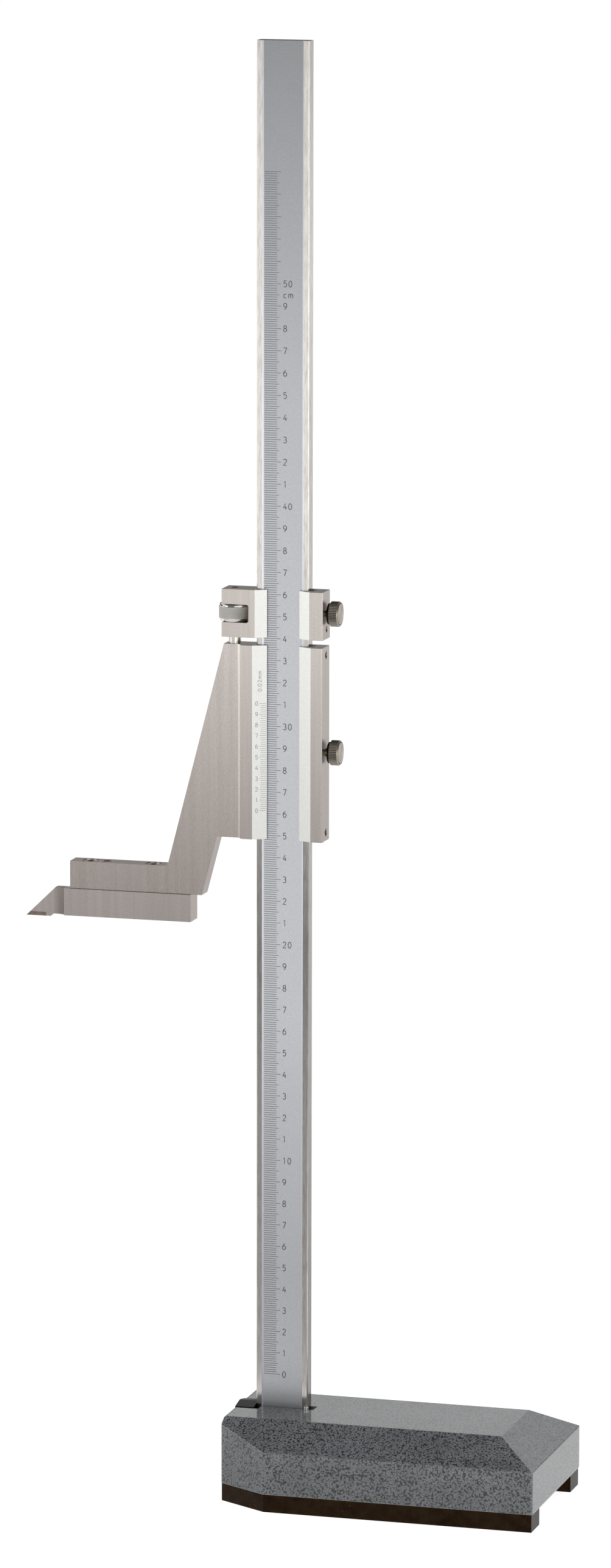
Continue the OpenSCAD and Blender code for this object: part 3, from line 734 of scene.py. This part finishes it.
class DiamondKnurlTool(GeometryTool):
    """Presses staggered diamonds into a round band that stands on Z.

    One ring of spikes is copied up the rows, and every other row is turned by half a spike. A spike
    reaches as far up and down as the next row.
    """

    def __init__(self) -> None:
        """Builds the tree."""
        super().__init__("diamond_knurl")
        tree = self.tree
        around, rows = self.value("Around", "Int"), self.value("Rows", "Int")
        radius, depth = self.value("Radius"), self.value("Depth")
        low, rise = self.value("Low"), self.value("Rise")
        index = add_node(tree, "GeometryNodeInputIndex")
        half_turn = add_node(tree, "ShaderNodeMath", [math.pi, around], operation="DIVIDE")
        half_wide = add_node(tree, "ShaderNodeMath", [radius, half_turn], operation="MULTIPLY")
        spike = add_node(tree, "GeometryNodeMeshCone",
                         {"Vertices": 4, "Radius Top": 0.0, "Radius Bottom": 1.0, "Depth": 1.0})
        outward = add_node(tree, "GeometryNodeTransform", {
            "Geometry": spike, "Translation": add_node(tree, "ShaderNodeCombineXYZ", [radius]),
            "Rotation": (0.0, math.pi / 2, 0.0),
            "Scale": add_node(tree, "ShaderNodeCombineXYZ", [rise, half_wide, depth])})
        halves = add_node(tree, "ShaderNodeMath", [index, 2.0], operation="MULTIPLY")
        turn = add_node(tree, "ShaderNodeMath", [halves, half_turn], operation="MULTIPLY")
        ring = add_node(tree, "GeometryNodeInstanceOnPoints", {
            "Points": add_node(tree, "GeometryNodeMeshLine", {"Count": around, "Offset": (0.0, 0.0, 0.0)}),
            "Instance": outward, "Rotation": add_node(tree, "ShaderNodeCombineXYZ", {"Z": turn})})
        first = add_node(tree, "ShaderNodeMath", [rise, 0.5, low], operation="MULTIPLY_ADD")
        levels = add_node(tree, "GeometryNodeMeshLine", {
            "Count": rows, "Start Location": add_node(tree, "ShaderNodeCombineXYZ", {"Z": first}),
            "Offset": add_node(tree, "ShaderNodeCombineXYZ", {"Z": rise})})
        odd = add_node(tree, "ShaderNodeMath", [index, 2.0], operation="MODULO")
        stagger = add_node(tree, "ShaderNodeMath", [odd, half_turn], operation="MULTIPLY")
        self.close(add_node(tree, "GeometryNodeInstanceOnPoints", {
            "Points": levels, "Instance": ring,
            "Rotation": add_node(tree, "ShaderNodeCombineXYZ", {"Z": stagger})}))


def new_piece(name: str, mesh: bpy.types.Mesh | None = None) -> bpy.types.Object:
    """Adds an object to the scene, at the origin.

    Args:
        name: its name.
        mesh: its mesh, or None for an empty one.

    Returns:
        The object.
    """
    piece = bpy.data.objects.new(name, mesh or bpy.data.meshes.new(name))
    bpy.context.scene.collection.objects.link(piece)
    return piece


def attach(piece: bpy.types.Object, body: str) -> None:
    """Makes a new piece ride on a body, and reports it.

    Args:
        piece: the finished piece.
        body: the body that carries it.
    """
    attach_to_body(piece, body)
    log.info("%s rides on %s, %d faces", piece.name, body, len(piece.data.polygons))


def dress(names: Sequence[str], finish: Finish) -> None:
    """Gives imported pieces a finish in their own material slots, and reports each.

    Args:
        names: the pieces' names.
        finish: the finish.
    """
    for name in names:
        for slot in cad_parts[name].material_slots:
            slot.material = finish.material()
        log.info("%s is %s", name, finish.name)


def arc(centre: Point, radii: Point, start: float, sweep: float, steps: int = 14) -> Stroke:
    """Points along an elliptical arc.

    Args:
        centre: its middle.
        radii: its half width and half height.
        start: the first point's angle in degrees, from the right, anticlockwise.
        sweep: how far it turns in degrees.
        steps: how many pieces it has.

    Returns:
        The points, with both ends.
    """
    angles = [math.radians(start + sweep * i / steps) for i in range(steps + 1)]
    return [(centre[0] + radii[0] * math.cos(a), centre[1] + radii[1] * math.sin(a)) for a in angles]


GLYPH_W = 0.56
GLYPH_M = 0.68
GLYPHS: dict[str, list[Stroke]] = {
    "0": [arc((0.28, 0.5), (0.26, 0.5), 90, 360, 28)],
    "1": [[(0.14, 0.8), (0.32, 1.0), (0.32, 0.0)]],
    "2": [arc((0.28, 0.74), (0.25, 0.26), 165, -200) + [(0.02, 0.0), (0.54, 0.0)]],
    "3": [arc((0.26, 0.76), (0.22, 0.24), 150, -240), arc((0.26, 0.27), (0.26, 0.27), 90, -240)],
    "4": [[(0.36, 1.0), (0.02, 0.3), (0.56, 0.3)], [(0.42, 0.6), (0.42, 0.0)]],
    "5": [[(0.5, 1.0), (0.1, 1.0), (0.07, 0.56)] + arc((0.26, 0.33), (0.26, 0.33), 132, -275)],
    "6": [arc((0.28, 0.31), (0.26, 0.31), 90, 360, 24), arc((0.54, 0.36), (0.52, 0.64), 180, -78)],
    "7": [[(0.02, 1.0), (0.54, 1.0), (0.2, 0.0)]],
    "8": [arc((0.28, 0.76), (0.21, 0.24), 90, 360, 24), arc((0.28, 0.26), (0.26, 0.26), 90, 360, 24)],
    "9": [arc((0.28, 0.69), (0.26, 0.31), 90, 360, 24), arc((0.02, 0.64), (0.52, 0.64), 0, -78)],
    ".": [[(0.28, -0.02), (0.28, 0.08)]],
    "c": [arc((0.28, 0.33), (0.26, 0.33), 52, 256)],
    "m": [[(0.0, 0.66), (0.0, 0.0)],
          arc((0.17, 0.46), (0.17, 0.2), 180, -180, 8) + [(0.34, 0.0)],
          arc((0.51, 0.46), (0.17, 0.2), 180, -180, 8) + [(0.68, 0.0)]],
}


@dataclass
class Engraving:
    """Lines and numerals cut in a flat face of a body and filled.

    The face's own frame has X across it, Z up along the scale and Y into the metal. The fill stands
    a hair above the face, so that it shows. Where strokes cross, each stands a little above the one
    before, by the layer's share.
    """

    place: Matrix
    body: str
    stroke: float
    proud: float = mm(0.02)
    layer: float = 0.15
    sharpest: float = 0.6

    def rule(self, name: str, tool: GraduationTool, left: float, fill: EtchedFill, values: dict) -> None:
        """Cuts a row of lines as a piece.

        Args:
            name: the piece's name.
            tool: the tool that rules them.
            left: where the row stands on the face.
            fill: what the lines are filled with.
            values: the tool's other inputs.
        """
        lines = new_piece(name)
        tool.apply(lines, {**values, "Proud": self.proud, "Finish": fill.material()})
        lines.data.transform(self.place @ Matrix.Translation((left, 0.0, 0.0)))
        attach(lines, self.body)

    def ribbon(self, mesh: bmesh.types.BMesh, points: Stroke, proud: float) -> None:
        """Adds one stroke of a numeral as a closed strip with square ends.

        Args:
            mesh: the mesh that it goes in.
            points: the stroke's middle line, in metres on the face.
            proud: how far it stands above the face.
        """
        ring = math.dist(points[0], points[-1]) < self.stroke / 4
        path = [Vector(p) for p in (points[:-1] if ring else points)]
        count = len(path)
        rows = []
        for i, here in enumerate(path):
            back = path[i - 1] if ring or i > 0 else here
            on = path[(i + 1) % count] if ring or i < count - 1 else here
            along = ((on - here).normalized() + (here - back).normalized()).normalized()
            leg = (on - here) if ring or i < count - 1 else (here - back)
            half = self.stroke / 2 / max(self.sharpest, along.dot(leg.normalized()))
            side = Vector((-along.y, along.x)) * half
            rows.append([mesh.verts.new((p.x, depth, p.y)) for depth in (-proud, self.proud)
                         for p in (here + side, here - side)])
        for i in range(count if ring else count - 1):
            a, b = rows[i], rows[(i + 1) % count]
            for m, n in ((0, 1), (1, 3), (3, 2), (2, 0)):
                mesh.faces.new((a[m], b[m], b[n], a[n]))
        if not ring:
            mesh.faces.new([rows[0][k] for k in (0, 1, 3, 2)])
            mesh.faces.new([rows[-1][k] for k in (2, 3, 1, 0)])

    def text(self, mesh: bmesh.types.BMesh, words: str, start: Point, height: float, advance: float = 0.0,
             stretch: float = 1.0, turned: bool = False) -> None:
        """Adds a line of numerals.

        Args:
            mesh: the mesh that it goes in.
            words: the characters.
            start: the first character's lower left corner on the face.
            height: the numerals' height.
            advance: the distance from one character to the next.
            stretch: their width as a share of the drawn width.
            turned: whether it reads upward.
        """
        for i, character in enumerate(words):
            for layer, stroke in enumerate(GLYPHS[character]):
                flat = [(x * height * stretch + i * advance, y * height) for x, y in stroke]
                laid = [(-y, x) for x, y in flat] if turned else flat
                points = [(start[0] + x, start[1] + z) for x, z in laid]
                self.ribbon(mesh, points, self.proud * (1 + self.layer * layer))

    def finish(self, name: str, mesh: bmesh.types.BMesh, fill: EtchedFill) -> None:
        """Makes the strokes a piece.

        Args:
            name: the piece's name.
            mesh: the strokes on the face, which it uses up.
            fill: what they are filled with.
        """
        bmesh.ops.recalc_face_normals(mesh, faces=mesh.faces)
        piece = new_piece(name)
        mesh.to_mesh(piece.data)
        mesh.free()
        piece.data.transform(self.place)
        piece.data.materials.append(fill.material())
        attach(piece, self.body)


def lathe(profile: Sequence[Point], segments: int) -> bpy.types.Mesh:
    """Turns a closed profile about Z.

    Args:
        profile: corners as radius and height, round the section.
        segments: how many flats the circle has.

    Returns:
        A closed mesh with its faces outwards.
    """
    work = bmesh.new()
    rings = []
    for i in range(segments):
        angle = math.tau * i / segments
        rings.append([work.verts.new((r * math.cos(angle), r * math.sin(angle), z)) for r, z in profile])
    for i, ring in enumerate(rings):
        following = rings[(i + 1) % segments]
        for j in range(len(profile)):
            k = (j + 1) % len(profile)
            work.faces.new((ring[j], following[j], following[k], ring[k]))
    bmesh.ops.remove_doubles(work, verts=work.verts, dist=mm(0.001))
    bmesh.ops.recalc_face_normals(work, faces=work.faces)
    mesh = bpy.data.meshes.new("lathe")
    work.to_mesh(mesh)
    work.free()
    mesh.shade_smooth()
    mesh.set_sharp_from_angle(angle=math.radians(30))
    return mesh


@dataclass
class Base:
    """Painted casting on its browned sole, with the hidden screws and the clamp of the beam's foot."""

    def build(self) -> None:
        """Dresses the standing pieces."""
        dress(["base_casting"], HammertoneEnamel())
        dress(["base_sole"], BrownedSteel())
        dress(["sole_screws", "beam_clamp_screws"], BlackOxide())
        dress(["beam_clamp_block"],
              BlackOxide(name="black_oxide_milled", low="#0d0a08", high="#241e19", roughness=0.36))
        dress(["beam_locating_pin"],
              TurnedSteel(name="polished_pin", dark="#cfccc6", light="#f2f0ec", roughness=0.12))


@dataclass
class ScaleFace:
    """The beam and the millimetre scale on its satin face, numbered in centimetres."""

    zero: float = mm(54.0)
    length_mm: int = 550
    recess: float = mm(0.4)
    left: float = mm(-8.66)
    short: float = mm(5.82)
    middle: float = mm(6.76)
    long: float = mm(7.63)
    line: float = mm(0.24)
    stroke: float = mm(0.36)
    top_cm: int = 50
    numeral_left: float = mm(0.13)
    numeral_h: float = mm(2.75)
    numeral_step: float = mm(2.4)
    unit_drop: float = mm(4.9)

    def build(self, tool: GraduationTool) -> None:
        """Dresses the beam and cuts its lines and numerals.

        Args:
            tool: the tool that rules the lines.
        """
        dress(["beam"], SatinChromeScale())
        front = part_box("beam")[0].y + self.recess
        cut = Engraving(Matrix.Translation((0.0, front, self.zero)), "base", self.stroke)
        thin = EtchedFill(name="etched_line_fill", dark="#70737a", light="#83868c")
        cut.rule("scale_lines", tool, self.left, thin, {
            "Count": self.length_mm + 1, "Pitch": mm(1.0), "Short": self.short, "Middle": self.middle,
            "Long": self.long, "Middle Every": 5, "Long Every": 10, "Width": self.line, "Aside": 0.5})
        cut.finish("scale_numerals", self.numerals(cut), EtchedFill())

    def numerals(self, cut: Engraving) -> bmesh.types.BMesh:
        """Draws the centimetre numbers, with every ten in full and the unit's sign under the last.

        Args:
            cut: the engraving that draws them.

        Returns:
            Their strokes on the face.
        """
        mesh = bmesh.new()
        for centimetre in range(self.top_cm + 1):
            words = str(centimetre if centimetre % 10 == 0 else centimetre % 10)
            low = mm(10.0) * centimetre - self.numeral_h / 2
            cut.text(mesh, words, (self.numeral_left, low), self.numeral_h, self.numeral_step)
        unit_low = mm(10.0) * self.top_cm - self.numeral_h / 2 - self.unit_drop
        cut.text(mesh, "cm", (self.numeral_left, unit_low), self.numeral_h, self.numeral_step)
        return mesh


@dataclass
class VernierFace:
    """The vernier on the slider's left bevel: fifty steps over 49 mm, which read to 0.02 mm.

    The characters of the step that it reads stand upward from the first one's middle, each with the
    distance of its own middle and its width as a share of the drawn one.
    """

    below_top: float = mm(75.4)
    steps: int = 50
    tenths: int = 10
    span: float = mm(49.0)
    bevel_w: float = mm(6.1)
    bevel_d: float = mm(2.9)
    lap: float = mm(4.95)
    line_end: float = mm(6.4)
    short: float = mm(2.5)
    long: float = mm(3.05)
    line: float = mm(0.14)
    stroke: float = mm(0.2)
    numeral_mid: float = mm(2.03)
    numeral_h: float = mm(1.8)
    numeral_wide: float = 1.15
    unit_foot: float = mm(4.3)
    unit_mid: float = mm(55.1)
    unit_h: float = mm(1.65)
    unit: tuple[tuple[str, float, float], ...] = (
        ("0", 0.0, 1.2), (".", 1.25, 1.2), ("0", 2.26, 1.2), ("2", 4.02, 1.2), ("m", 5.94, 1.1),
        ("m", 7.9, 1.1))

    def build(self, tool: GraduationTool) -> None:
        """Cuts the vernier's lines, numerals and step.

        Args:
            tool: the tool that rules the lines.
        """
        low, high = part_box("slider_frame")
        edge_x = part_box("beam")[0].x + self.lap
        across = Vector((self.bevel_w, self.bevel_d, 0.0)).normalized()
        inward = Vector((-across.y, across.x, 0.0))
        corner = Vector((edge_x - self.bevel_w, low.y, high.z - self.below_top))
        turn = Matrix((across, inward, Vector((0.0, 0.0, 1.0)))).transposed().to_4x4()
        fill = EtchedFill(name="etched_fill_pale", dark="#85878a", light="#989a9c")
        cut = Engraving(Matrix.Translation(corner) @ turn, "slider", self.stroke)
        cut.rule("vernier_lines", tool, self.line_end, fill, {
            "Count": self.steps + 1, "Pitch": self.span / self.steps, "Short": self.short,
            "Middle": self.long, "Long": self.long, "Middle Every": 5, "Long Every": 5,
            "Width": self.line, "Aside": -0.5})
        cut.finish("vernier_numerals", self.numerals(cut), fill)

    def numerals(self, cut: Engraving) -> bmesh.types.BMesh:
        """Draws the numbers 0 to 9 and 0 beside every fifth line, and the step that the vernier reads.

        Args:
            cut: the engraving that draws them.

        Returns:
            Their strokes on the face.
        """
        mesh = bmesh.new()
        for i in range(self.tenths + 1):
            left = self.numeral_mid - GLYPH_W / 2 * self.numeral_h * self.numeral_wide
            low = self.span * i / self.tenths - self.numeral_h / 2
            cut.text(mesh, str(i % self.tenths), (left, low), self.numeral_h, stretch=self.numeral_wide)
        for character, middle, wide in self.unit:
            half = (GLYPH_M if character == "m" else GLYPH_W) / 2 * self.unit_h * wide
            low = self.unit_mid + mm(middle) - half
            cut.text(mesh, character, (self.unit_foot, low), self.unit_h, stretch=wide, turned=True)
        return mesh


@dataclass
class Slider:
    """The slider with its arm, its gib and screws, and its lock.

    The carriage's gib, screw and lock are finished with them, because they are made alike.
    """

    bevels: tuple[Point, Point] = ((mm(-13.36), mm(-7.1)), (mm(7.8), mm(14.01)))
    knob_rim: float = mm(0.3)
    knob_groove: float = mm(0.56)
    groove_w: float = mm(0.36)

    def build(self) -> None:
        """Dresses the slider's pieces."""
        low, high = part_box("slider_frame")
        # The frame is painted darker and warmer towards its lower end, as painted shade.
        dress(["slider_frame"], GroundSteel(name="ground_steel_slider", dark="#c0b8b2", light="#d3ccc7",
                                            bands=self.bevels, rise=(low.z, high.z)))
        dress(["slider_gib", "slider_gib_screws", "fine_gib", "fine_gib_screw"],
              TurnedSteel(name="screw_steel", dark="#77716b", light="#b9b3ad", stretch=0.0))
        for name in ("slider_lock_screw", "fine_lock_screw"):
            low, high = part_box(name)
            radius = (high.z - low.z) / 2
            outside = radius - self.knob_groove
            knob = TurnedSteel(name=name + "_steel", dark="#aaa298", light="#bcb4a9", roughness=0.3,
                               stretch=0.85, axis=Axis.X, centre=tuple((low + high) / 2),
                               rim=radius - self.knob_rim, groove=(outside - self.groove_w, outside))
            dress([name], knob)
        dress(["slider_lock_plug", "fine_lock_plug"],
              TurnedSteel(name="turned_brass", dark="#a8843f", light="#d8b468"))


@dataclass
class Scriber:
    """The scriber under the arm's foot: shank, blade and carbide edge, with screws and dowel."""

    hollow: Point = (mm(-108.5), mm(-103.45))

    def build(self) -> None:
        """Dresses the scriber's pieces."""
        # The blade's hollow is painted darker, as painted shade.
        dress(["scriber_blade"],
              GroundSteel(name="ground_steel_scriber", dark="#b2aaa6", light="#c8c0bc", hollow=self.hollow))
        dress(["carbide_tip"],
              GroundSteel(name="ground_carbide", dark="#6d5f54", light="#93857a", roughness=0.35))
        dress(["scriber_screws", "scriber_dowel"],
              TurnedSteel(name="bright_screw", dark="#a39d96", light="#d6d1ca", stretch=0.0))


@dataclass
class FineAdjustment:
    """The carriage above the slider, its screw, and the knurled nut in its window.

    The crown is the nut's rounded shoulder, as corners that go in from the rim and up, in shoulders.
    """

    bevels: tuple[Point, Point] = ((mm(-12.16), mm(-7.1)), (mm(7.8), mm(13.31)))
    shoulder: float = mm(1.1)
    crown: tuple[Point, ...] = ((1.0, 0.0), (0.45, 0.12), (0.32, 0.3))
    groove: float = mm(0.25)
    bore_share: float = 0.39
    segments: int = 96
    knurl_in: float = mm(0.05)
    around: int = 80
    rows: int = 14

    def build(self, tool: DiamondKnurlTool) -> None:
        """Dresses the carriage and builds its nut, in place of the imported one.

        Args:
            tool: the tool that knurls the nut.
        """
        dress(["fine_block"], GroundSteel(name="ground_steel_carriage", bands=self.bevels))
        low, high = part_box("adjusting_screw")
        dress(["adjusting_screw"], TurnedSteel(name="adjusting_rod", dark="#a7a199", light="#d6d1ca",
                                               roughness=0.14, centre=tuple((low + high) / 2)))
        low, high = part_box("fine_nut")
        axis = (low + high) / 2
        place = Matrix.Translation((axis.x, axis.y, low.z))
        radius, tall = (high.x - low.x) / 2, high.z - low.z
        self.body(radius, tall, place, tuple(axis))
        self.knurl(tool, radius, tall, place, tuple(axis))

    def body(self, radius: float, tall: float, place: Matrix, axis: tuple[float, ...]) -> None:
        """Turns the nut with its polished shoulders.

        Args:
            radius: its radius at the shoulders.
            tall: its height.
            place: where its lower face's middle goes.
            axis: its own middle.
        """
        root = radius - self.knurl_in
        foot = self.shoulder + self.groove
        lower = [(radius - self.shoulder * i, self.shoulder * h) for i, h in self.crown]
        lower.append((radius - self.groove, self.shoulder))
        half = [(radius * self.bore_share, 0.0), *lower, (root, foot)]
        profile = half + [(r, tall - z) for r, z in reversed(half)]
        nut = new_piece("nut_body", lathe(profile, self.segments))
        nut.data.transform(place)
        nut.data.materials.append(TurnedSteel(
            name="polished_shoulder", dark="#e2dfda", light="#eeebe6", roughness=0.09, stretch=0.0,
            centre=axis).material())
        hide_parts("fine_nut")
        attach(nut, "nut")

    def knurl(self, tool: DiamondKnurlTool, radius: float, tall: float, place: Matrix,
              axis: tuple[float, ...]) -> None:
        """Knurls the nut's band between its shoulders.

        Args:
            tool: the tool that presses the diamonds.
            radius: the nut's radius.
            tall: its height.
            place: where its lower face's middle goes.
            axis: its own middle.
        """
        foot = self.shoulder + self.groove
        steel = TurnedSteel(name="knurled_nut", dark="#e4e1dc", light="#f4f2ee", roughness=0.36, stretch=0.0,
                            centre=axis)
        knurl = new_piece("nut_knurl")
        tool.apply(knurl, {
            "Around": self.around, "Rows": self.rows, "Radius": radius - self.knurl_in,
            "Depth": self.knurl_in, "Low": foot, "Rise": (tall - 2 * foot) / self.rows,
            "Finish": steel.material()})
        knurl.data.transform(place)
        attach(knurl, "nut")


class Side(Enum):
    """The half of the room that a zone is in, as the sign of Y there."""

    FRONT = -1.0
    BACK = 1.0


@dataclass(frozen=True)
class Zone:
    """A band of the room's floor or walls, between two angles above the horizon, and its brightness.

    Its ends are soft over the fade, in degrees. The halves of the room meet softly about Y = 0.
    """

    side: Side
    low: float
    high: float
    glow: float
    fade: float = 2.0
    meet: float = 0.1

    def light(self, tree: Tree, axes: Node) -> Node:
        """Returns this zone's part of the room's light.

        Args:
            tree: the world's shader tree.
            axes: the node that splits the ray's direction.

        Returns:
            The brightness's node.
        """
        meet = self.meet * self.side.value
        part = add_node(tree, "ShaderNodeMapRange", [axes.outputs["Y"], -meet, meet, 0.0, self.glow],
                        interpolation_type="SMOOTHSTEP")
        for angle, fade in ((self.low, self.fade), (self.high, -self.fade)):
            if abs(angle) < 90:
                soft = [math.sin(math.radians(angle + way * fade / 2)) for way in (-1, 1)]
                end = add_node(tree, "ShaderNodeMapRange", [axes.outputs["Z"], *soft, 0.0, 1.0],
                               interpolation_type="SMOOTHSTEP")
                part = add_node(tree, "ShaderNodeMath", [part, end], operation="MULTIPLY")
        return part


@dataclass(frozen=True)
class Panel:
    """A lit cloth or card that faces the gauge. Its glow is its brightness as a white surface.

    The compass angle is measured from the camera's side of the scale, towards the right.
    """

    name: str
    angle: float
    distance: float
    width: float
    height: float
    middle: float
    glow: float

    def place(self) -> None:
        """Sets the panel up as an area lamp that the camera doesn't see."""
        lamp = bpy.data.lights.new(self.name, "AREA")
        lamp.shape = "RECTANGLE"
        lamp.size, lamp.size_y = self.width, self.height
        lamp.energy = self.glow * math.pi * self.width * self.height
        stand = bpy.data.objects.new(self.name, lamp)
        bpy.context.scene.collection.objects.link(stand)
        angle = math.radians(self.angle)
        ahead = Vector((math.sin(angle), -math.cos(angle), 0.0))
        stand.location = ahead * self.distance + Vector((0.0, 0.0, self.middle))
        stand.rotation_euler = ahead.to_track_quat("Z", "Y").to_euler()
        stand.visible_camera = False


def shown_rays(tree: Tree) -> Node:
    """Tells the rays that show the studio from those that only light the gauge.

    Args:
        tree: the shader tree.

    Returns:
        The node that gives 1 for the camera's rays and for those that metal or glass sends on.
    """
    rays = add_node(tree, "ShaderNodeLightPath").outputs
    sent_on = add_node(tree, "ShaderNodeMath", [rays["Is Glossy Ray"], rays["Is Transmission Ray"]],
                       operation="MAXIMUM")
    return add_node(tree, "ShaderNodeMath", [rays["Is Camera Ray"], sent_on], operation="MAXIMUM")


@dataclass
class Studio:
    """A white table and backdrop, two softboxes with bulbs, and the camera at the photograph's angle."""

    frame_h_px: float = 2576.0
    focal_px: float = 11941.75
    sensor_mm: float = 36.0
    yaw: float = 16.059
    pitch: float = 9.581
    roll: float = 0.092
    eye: tuple[float, float, float] = (0.9042, -3.1069, 0.8736)
    table_front: float = -0.2
    table_side: float = 2.5
    table_back: float = 5.0
    table_glow: float = 0.75
    table_white: float = 0.12
    table_paper: str = "#d8d8d8"
    panels: tuple[Panel, ...] = (
        Panel("softbox_left", -72.0, 0.95, 0.6, 0.67, 0.46, 0.7),
        Panel("softbox_right", 30.0, 0.95, 0.7, 0.67, 0.46, 1.1),
        Panel("bulb_left", -50.0, 0.94, 0.3, 0.4, 0.48, 2.4),
        Panel("bulb_right", 58.0, 0.94, 0.3, 0.4, 0.48, 1.9))
    zones: tuple[Zone, ...] = (
        Zone(Side.FRONT, -90.0, -14.0, 0.75, 1.5), Zone(Side.FRONT, -14.0, -10.4, 0.16, 1.5),
        Zone(Side.FRONT, -10.4, -9.2, 0.6, 1.0), Zone(Side.FRONT, -9.2, -8.2, 1.0, 1.0),
        Zone(Side.FRONT, -8.2, -5.0, 1.4, 1.5), Zone(Side.FRONT, -5.0, 0.0, 1.2, 1.5),
        Zone(Side.FRONT, 0.0, 25.0, 0.2), Zone(Side.FRONT, 25.0, 90.0, 0.1),
        Zone(Side.BACK, -90.0, 12.5, 0.08, 1.5), Zone(Side.BACK, 12.5, 40.0, 0.8, 1.5),
        Zone(Side.BACK, 40.0, 90.0, 0.14))

    def build(self) -> None:
        """Sets up the camera, the table, the panels and the room."""
        self.set_camera()
        self.set_table()
        for panel in self.panels:
            panel.place()
        self.set_room()

    def set_camera(self) -> None:
        """Places the camera, with the photograph's focal length in its own frame's pixels."""
        yaw, pitch, roll = (math.radians(a) for a in (self.yaw, self.pitch, self.roll))
        ahead = Vector((-math.sin(yaw) * math.cos(pitch), math.cos(yaw) * math.cos(pitch), -math.sin(pitch)))
        level = Vector((math.cos(yaw), math.sin(yaw), 0.0))
        above = level.cross(ahead)
        right = level * math.cos(roll) + above * math.sin(roll)
        up = above * math.cos(roll) - level * math.sin(roll)
        data = bpy.data.cameras.new("camera")
        data.sensor_fit = "VERTICAL"
        data.sensor_height = self.sensor_mm
        data.lens = self.focal_px / self.frame_h_px * self.sensor_mm
        camera = bpy.data.objects.new("camera", data)
        bpy.context.scene.collection.objects.link(camera)
        turn = Matrix((right, up, -ahead)).transposed().to_4x4()
        camera.matrix_world = Matrix.Translation(self.eye) @ turn
        bpy.context.scene.camera = camera

    def set_table(self) -> None:
        """Lays the table, which the camera sees white with the gauge's soft shadow on it."""
        sheet = [(x, y, 0.0) for x, y in (
            (-self.table_side, self.table_front), (self.table_side, self.table_front),
            (self.table_side, self.table_back), (-self.table_side, self.table_back))]
        table = new_piece("table")
        table.data.from_pydata(sheet, [], [range(len(sheet))])
        paper = bpy.data.materials.new("white_paper")
        paper.use_nodes = True
        tree = paper.node_tree
        tree.nodes.clear()
        plain = add_node(tree, "ShaderNodeMath", [shown_rays(tree), self.table_glow], operation="MULTIPLY")
        seen = add_node(tree, "ShaderNodeLightPath").outputs["Is Camera Ray"]
        strength = add_node(tree, "ShaderNodeMath", [seen, self.table_white, plain], operation="MULTIPLY_ADD")
        glow = add_node(tree, "ShaderNodeEmission", {"Color": srgb("#ffffff"), "Strength": strength})
        matt = add_node(tree, "ShaderNodeBsdfDiffuse", {"Color": srgb(self.table_paper)})
        both = add_node(tree, "ShaderNodeAddShader", [glow, matt])
        add_node(tree, "ShaderNodeOutputMaterial", {"Surface": both})
        table.data.materials.append(paper)

    def set_room(self) -> None:
        """Lights the room by its zones. Beyond the table, the camera and the metal see a white backdrop."""
        world = bpy.data.worlds.new("room")
        bpy.context.scene.world = world
        world.use_nodes = True
        tree = world.node_tree
        tree.nodes.clear()
        way = add_node(tree, "ShaderNodeTexCoord").outputs["Generated"]
        axes = add_node(tree, "ShaderNodeSeparateXYZ", [way])
        studio: Node | float = 0.0
        for zone in self.zones:
            studio = add_node(tree, "ShaderNodeMath", [zone.light(tree, axes), studio], operation="ADD")
        behind = add_node(tree, "ShaderNodeMath", [axes.outputs["Y"], 0.0], operation="GREATER_THAN")
        below = add_node(tree, "ShaderNodeMath", [axes.outputs["Z"], 0.0], operation="LESS_THAN")
        beyond = add_node(tree, "ShaderNodeMath", [behind, below], operation="MULTIPLY")
        mirrored = add_node(tree, "ShaderNodeMath", [shown_rays(tree), beyond], operation="MULTIPLY")
        seen = add_node(tree, "ShaderNodeLightPath").outputs["Is Camera Ray"]
        backdrop = add_node(tree, "ShaderNodeMath", [mirrored, seen], operation="MAXIMUM")
        light = add_node(tree, "ShaderNodeBackground", {
            "Color": srgb("#ffffff"), "Strength": add_node(tree, "ShaderNodeMix", [backdrop, studio, 1.0])})
        add_node(tree, "ShaderNodeOutputWorld", {"Surface": light})
        bpy.context.scene.view_settings.view_transform = "Standard"


def main() -> None:
    """Builds the gauge's looks, sub-assembly by sub-assembly, and its studio."""
    logging.basicConfig(level=logging.INFO, format="%(name)s: %(message)s")
    graduations = GraduationTool()
    Base().build()
    ScaleFace().build(graduations)
    Slider().build()
    VernierFace().build(graduations)
    Scriber().build()
    FineAdjustment().build(DiamondKnurlTool())
    Studio().build()


if __name__ == "__main__":
    main()
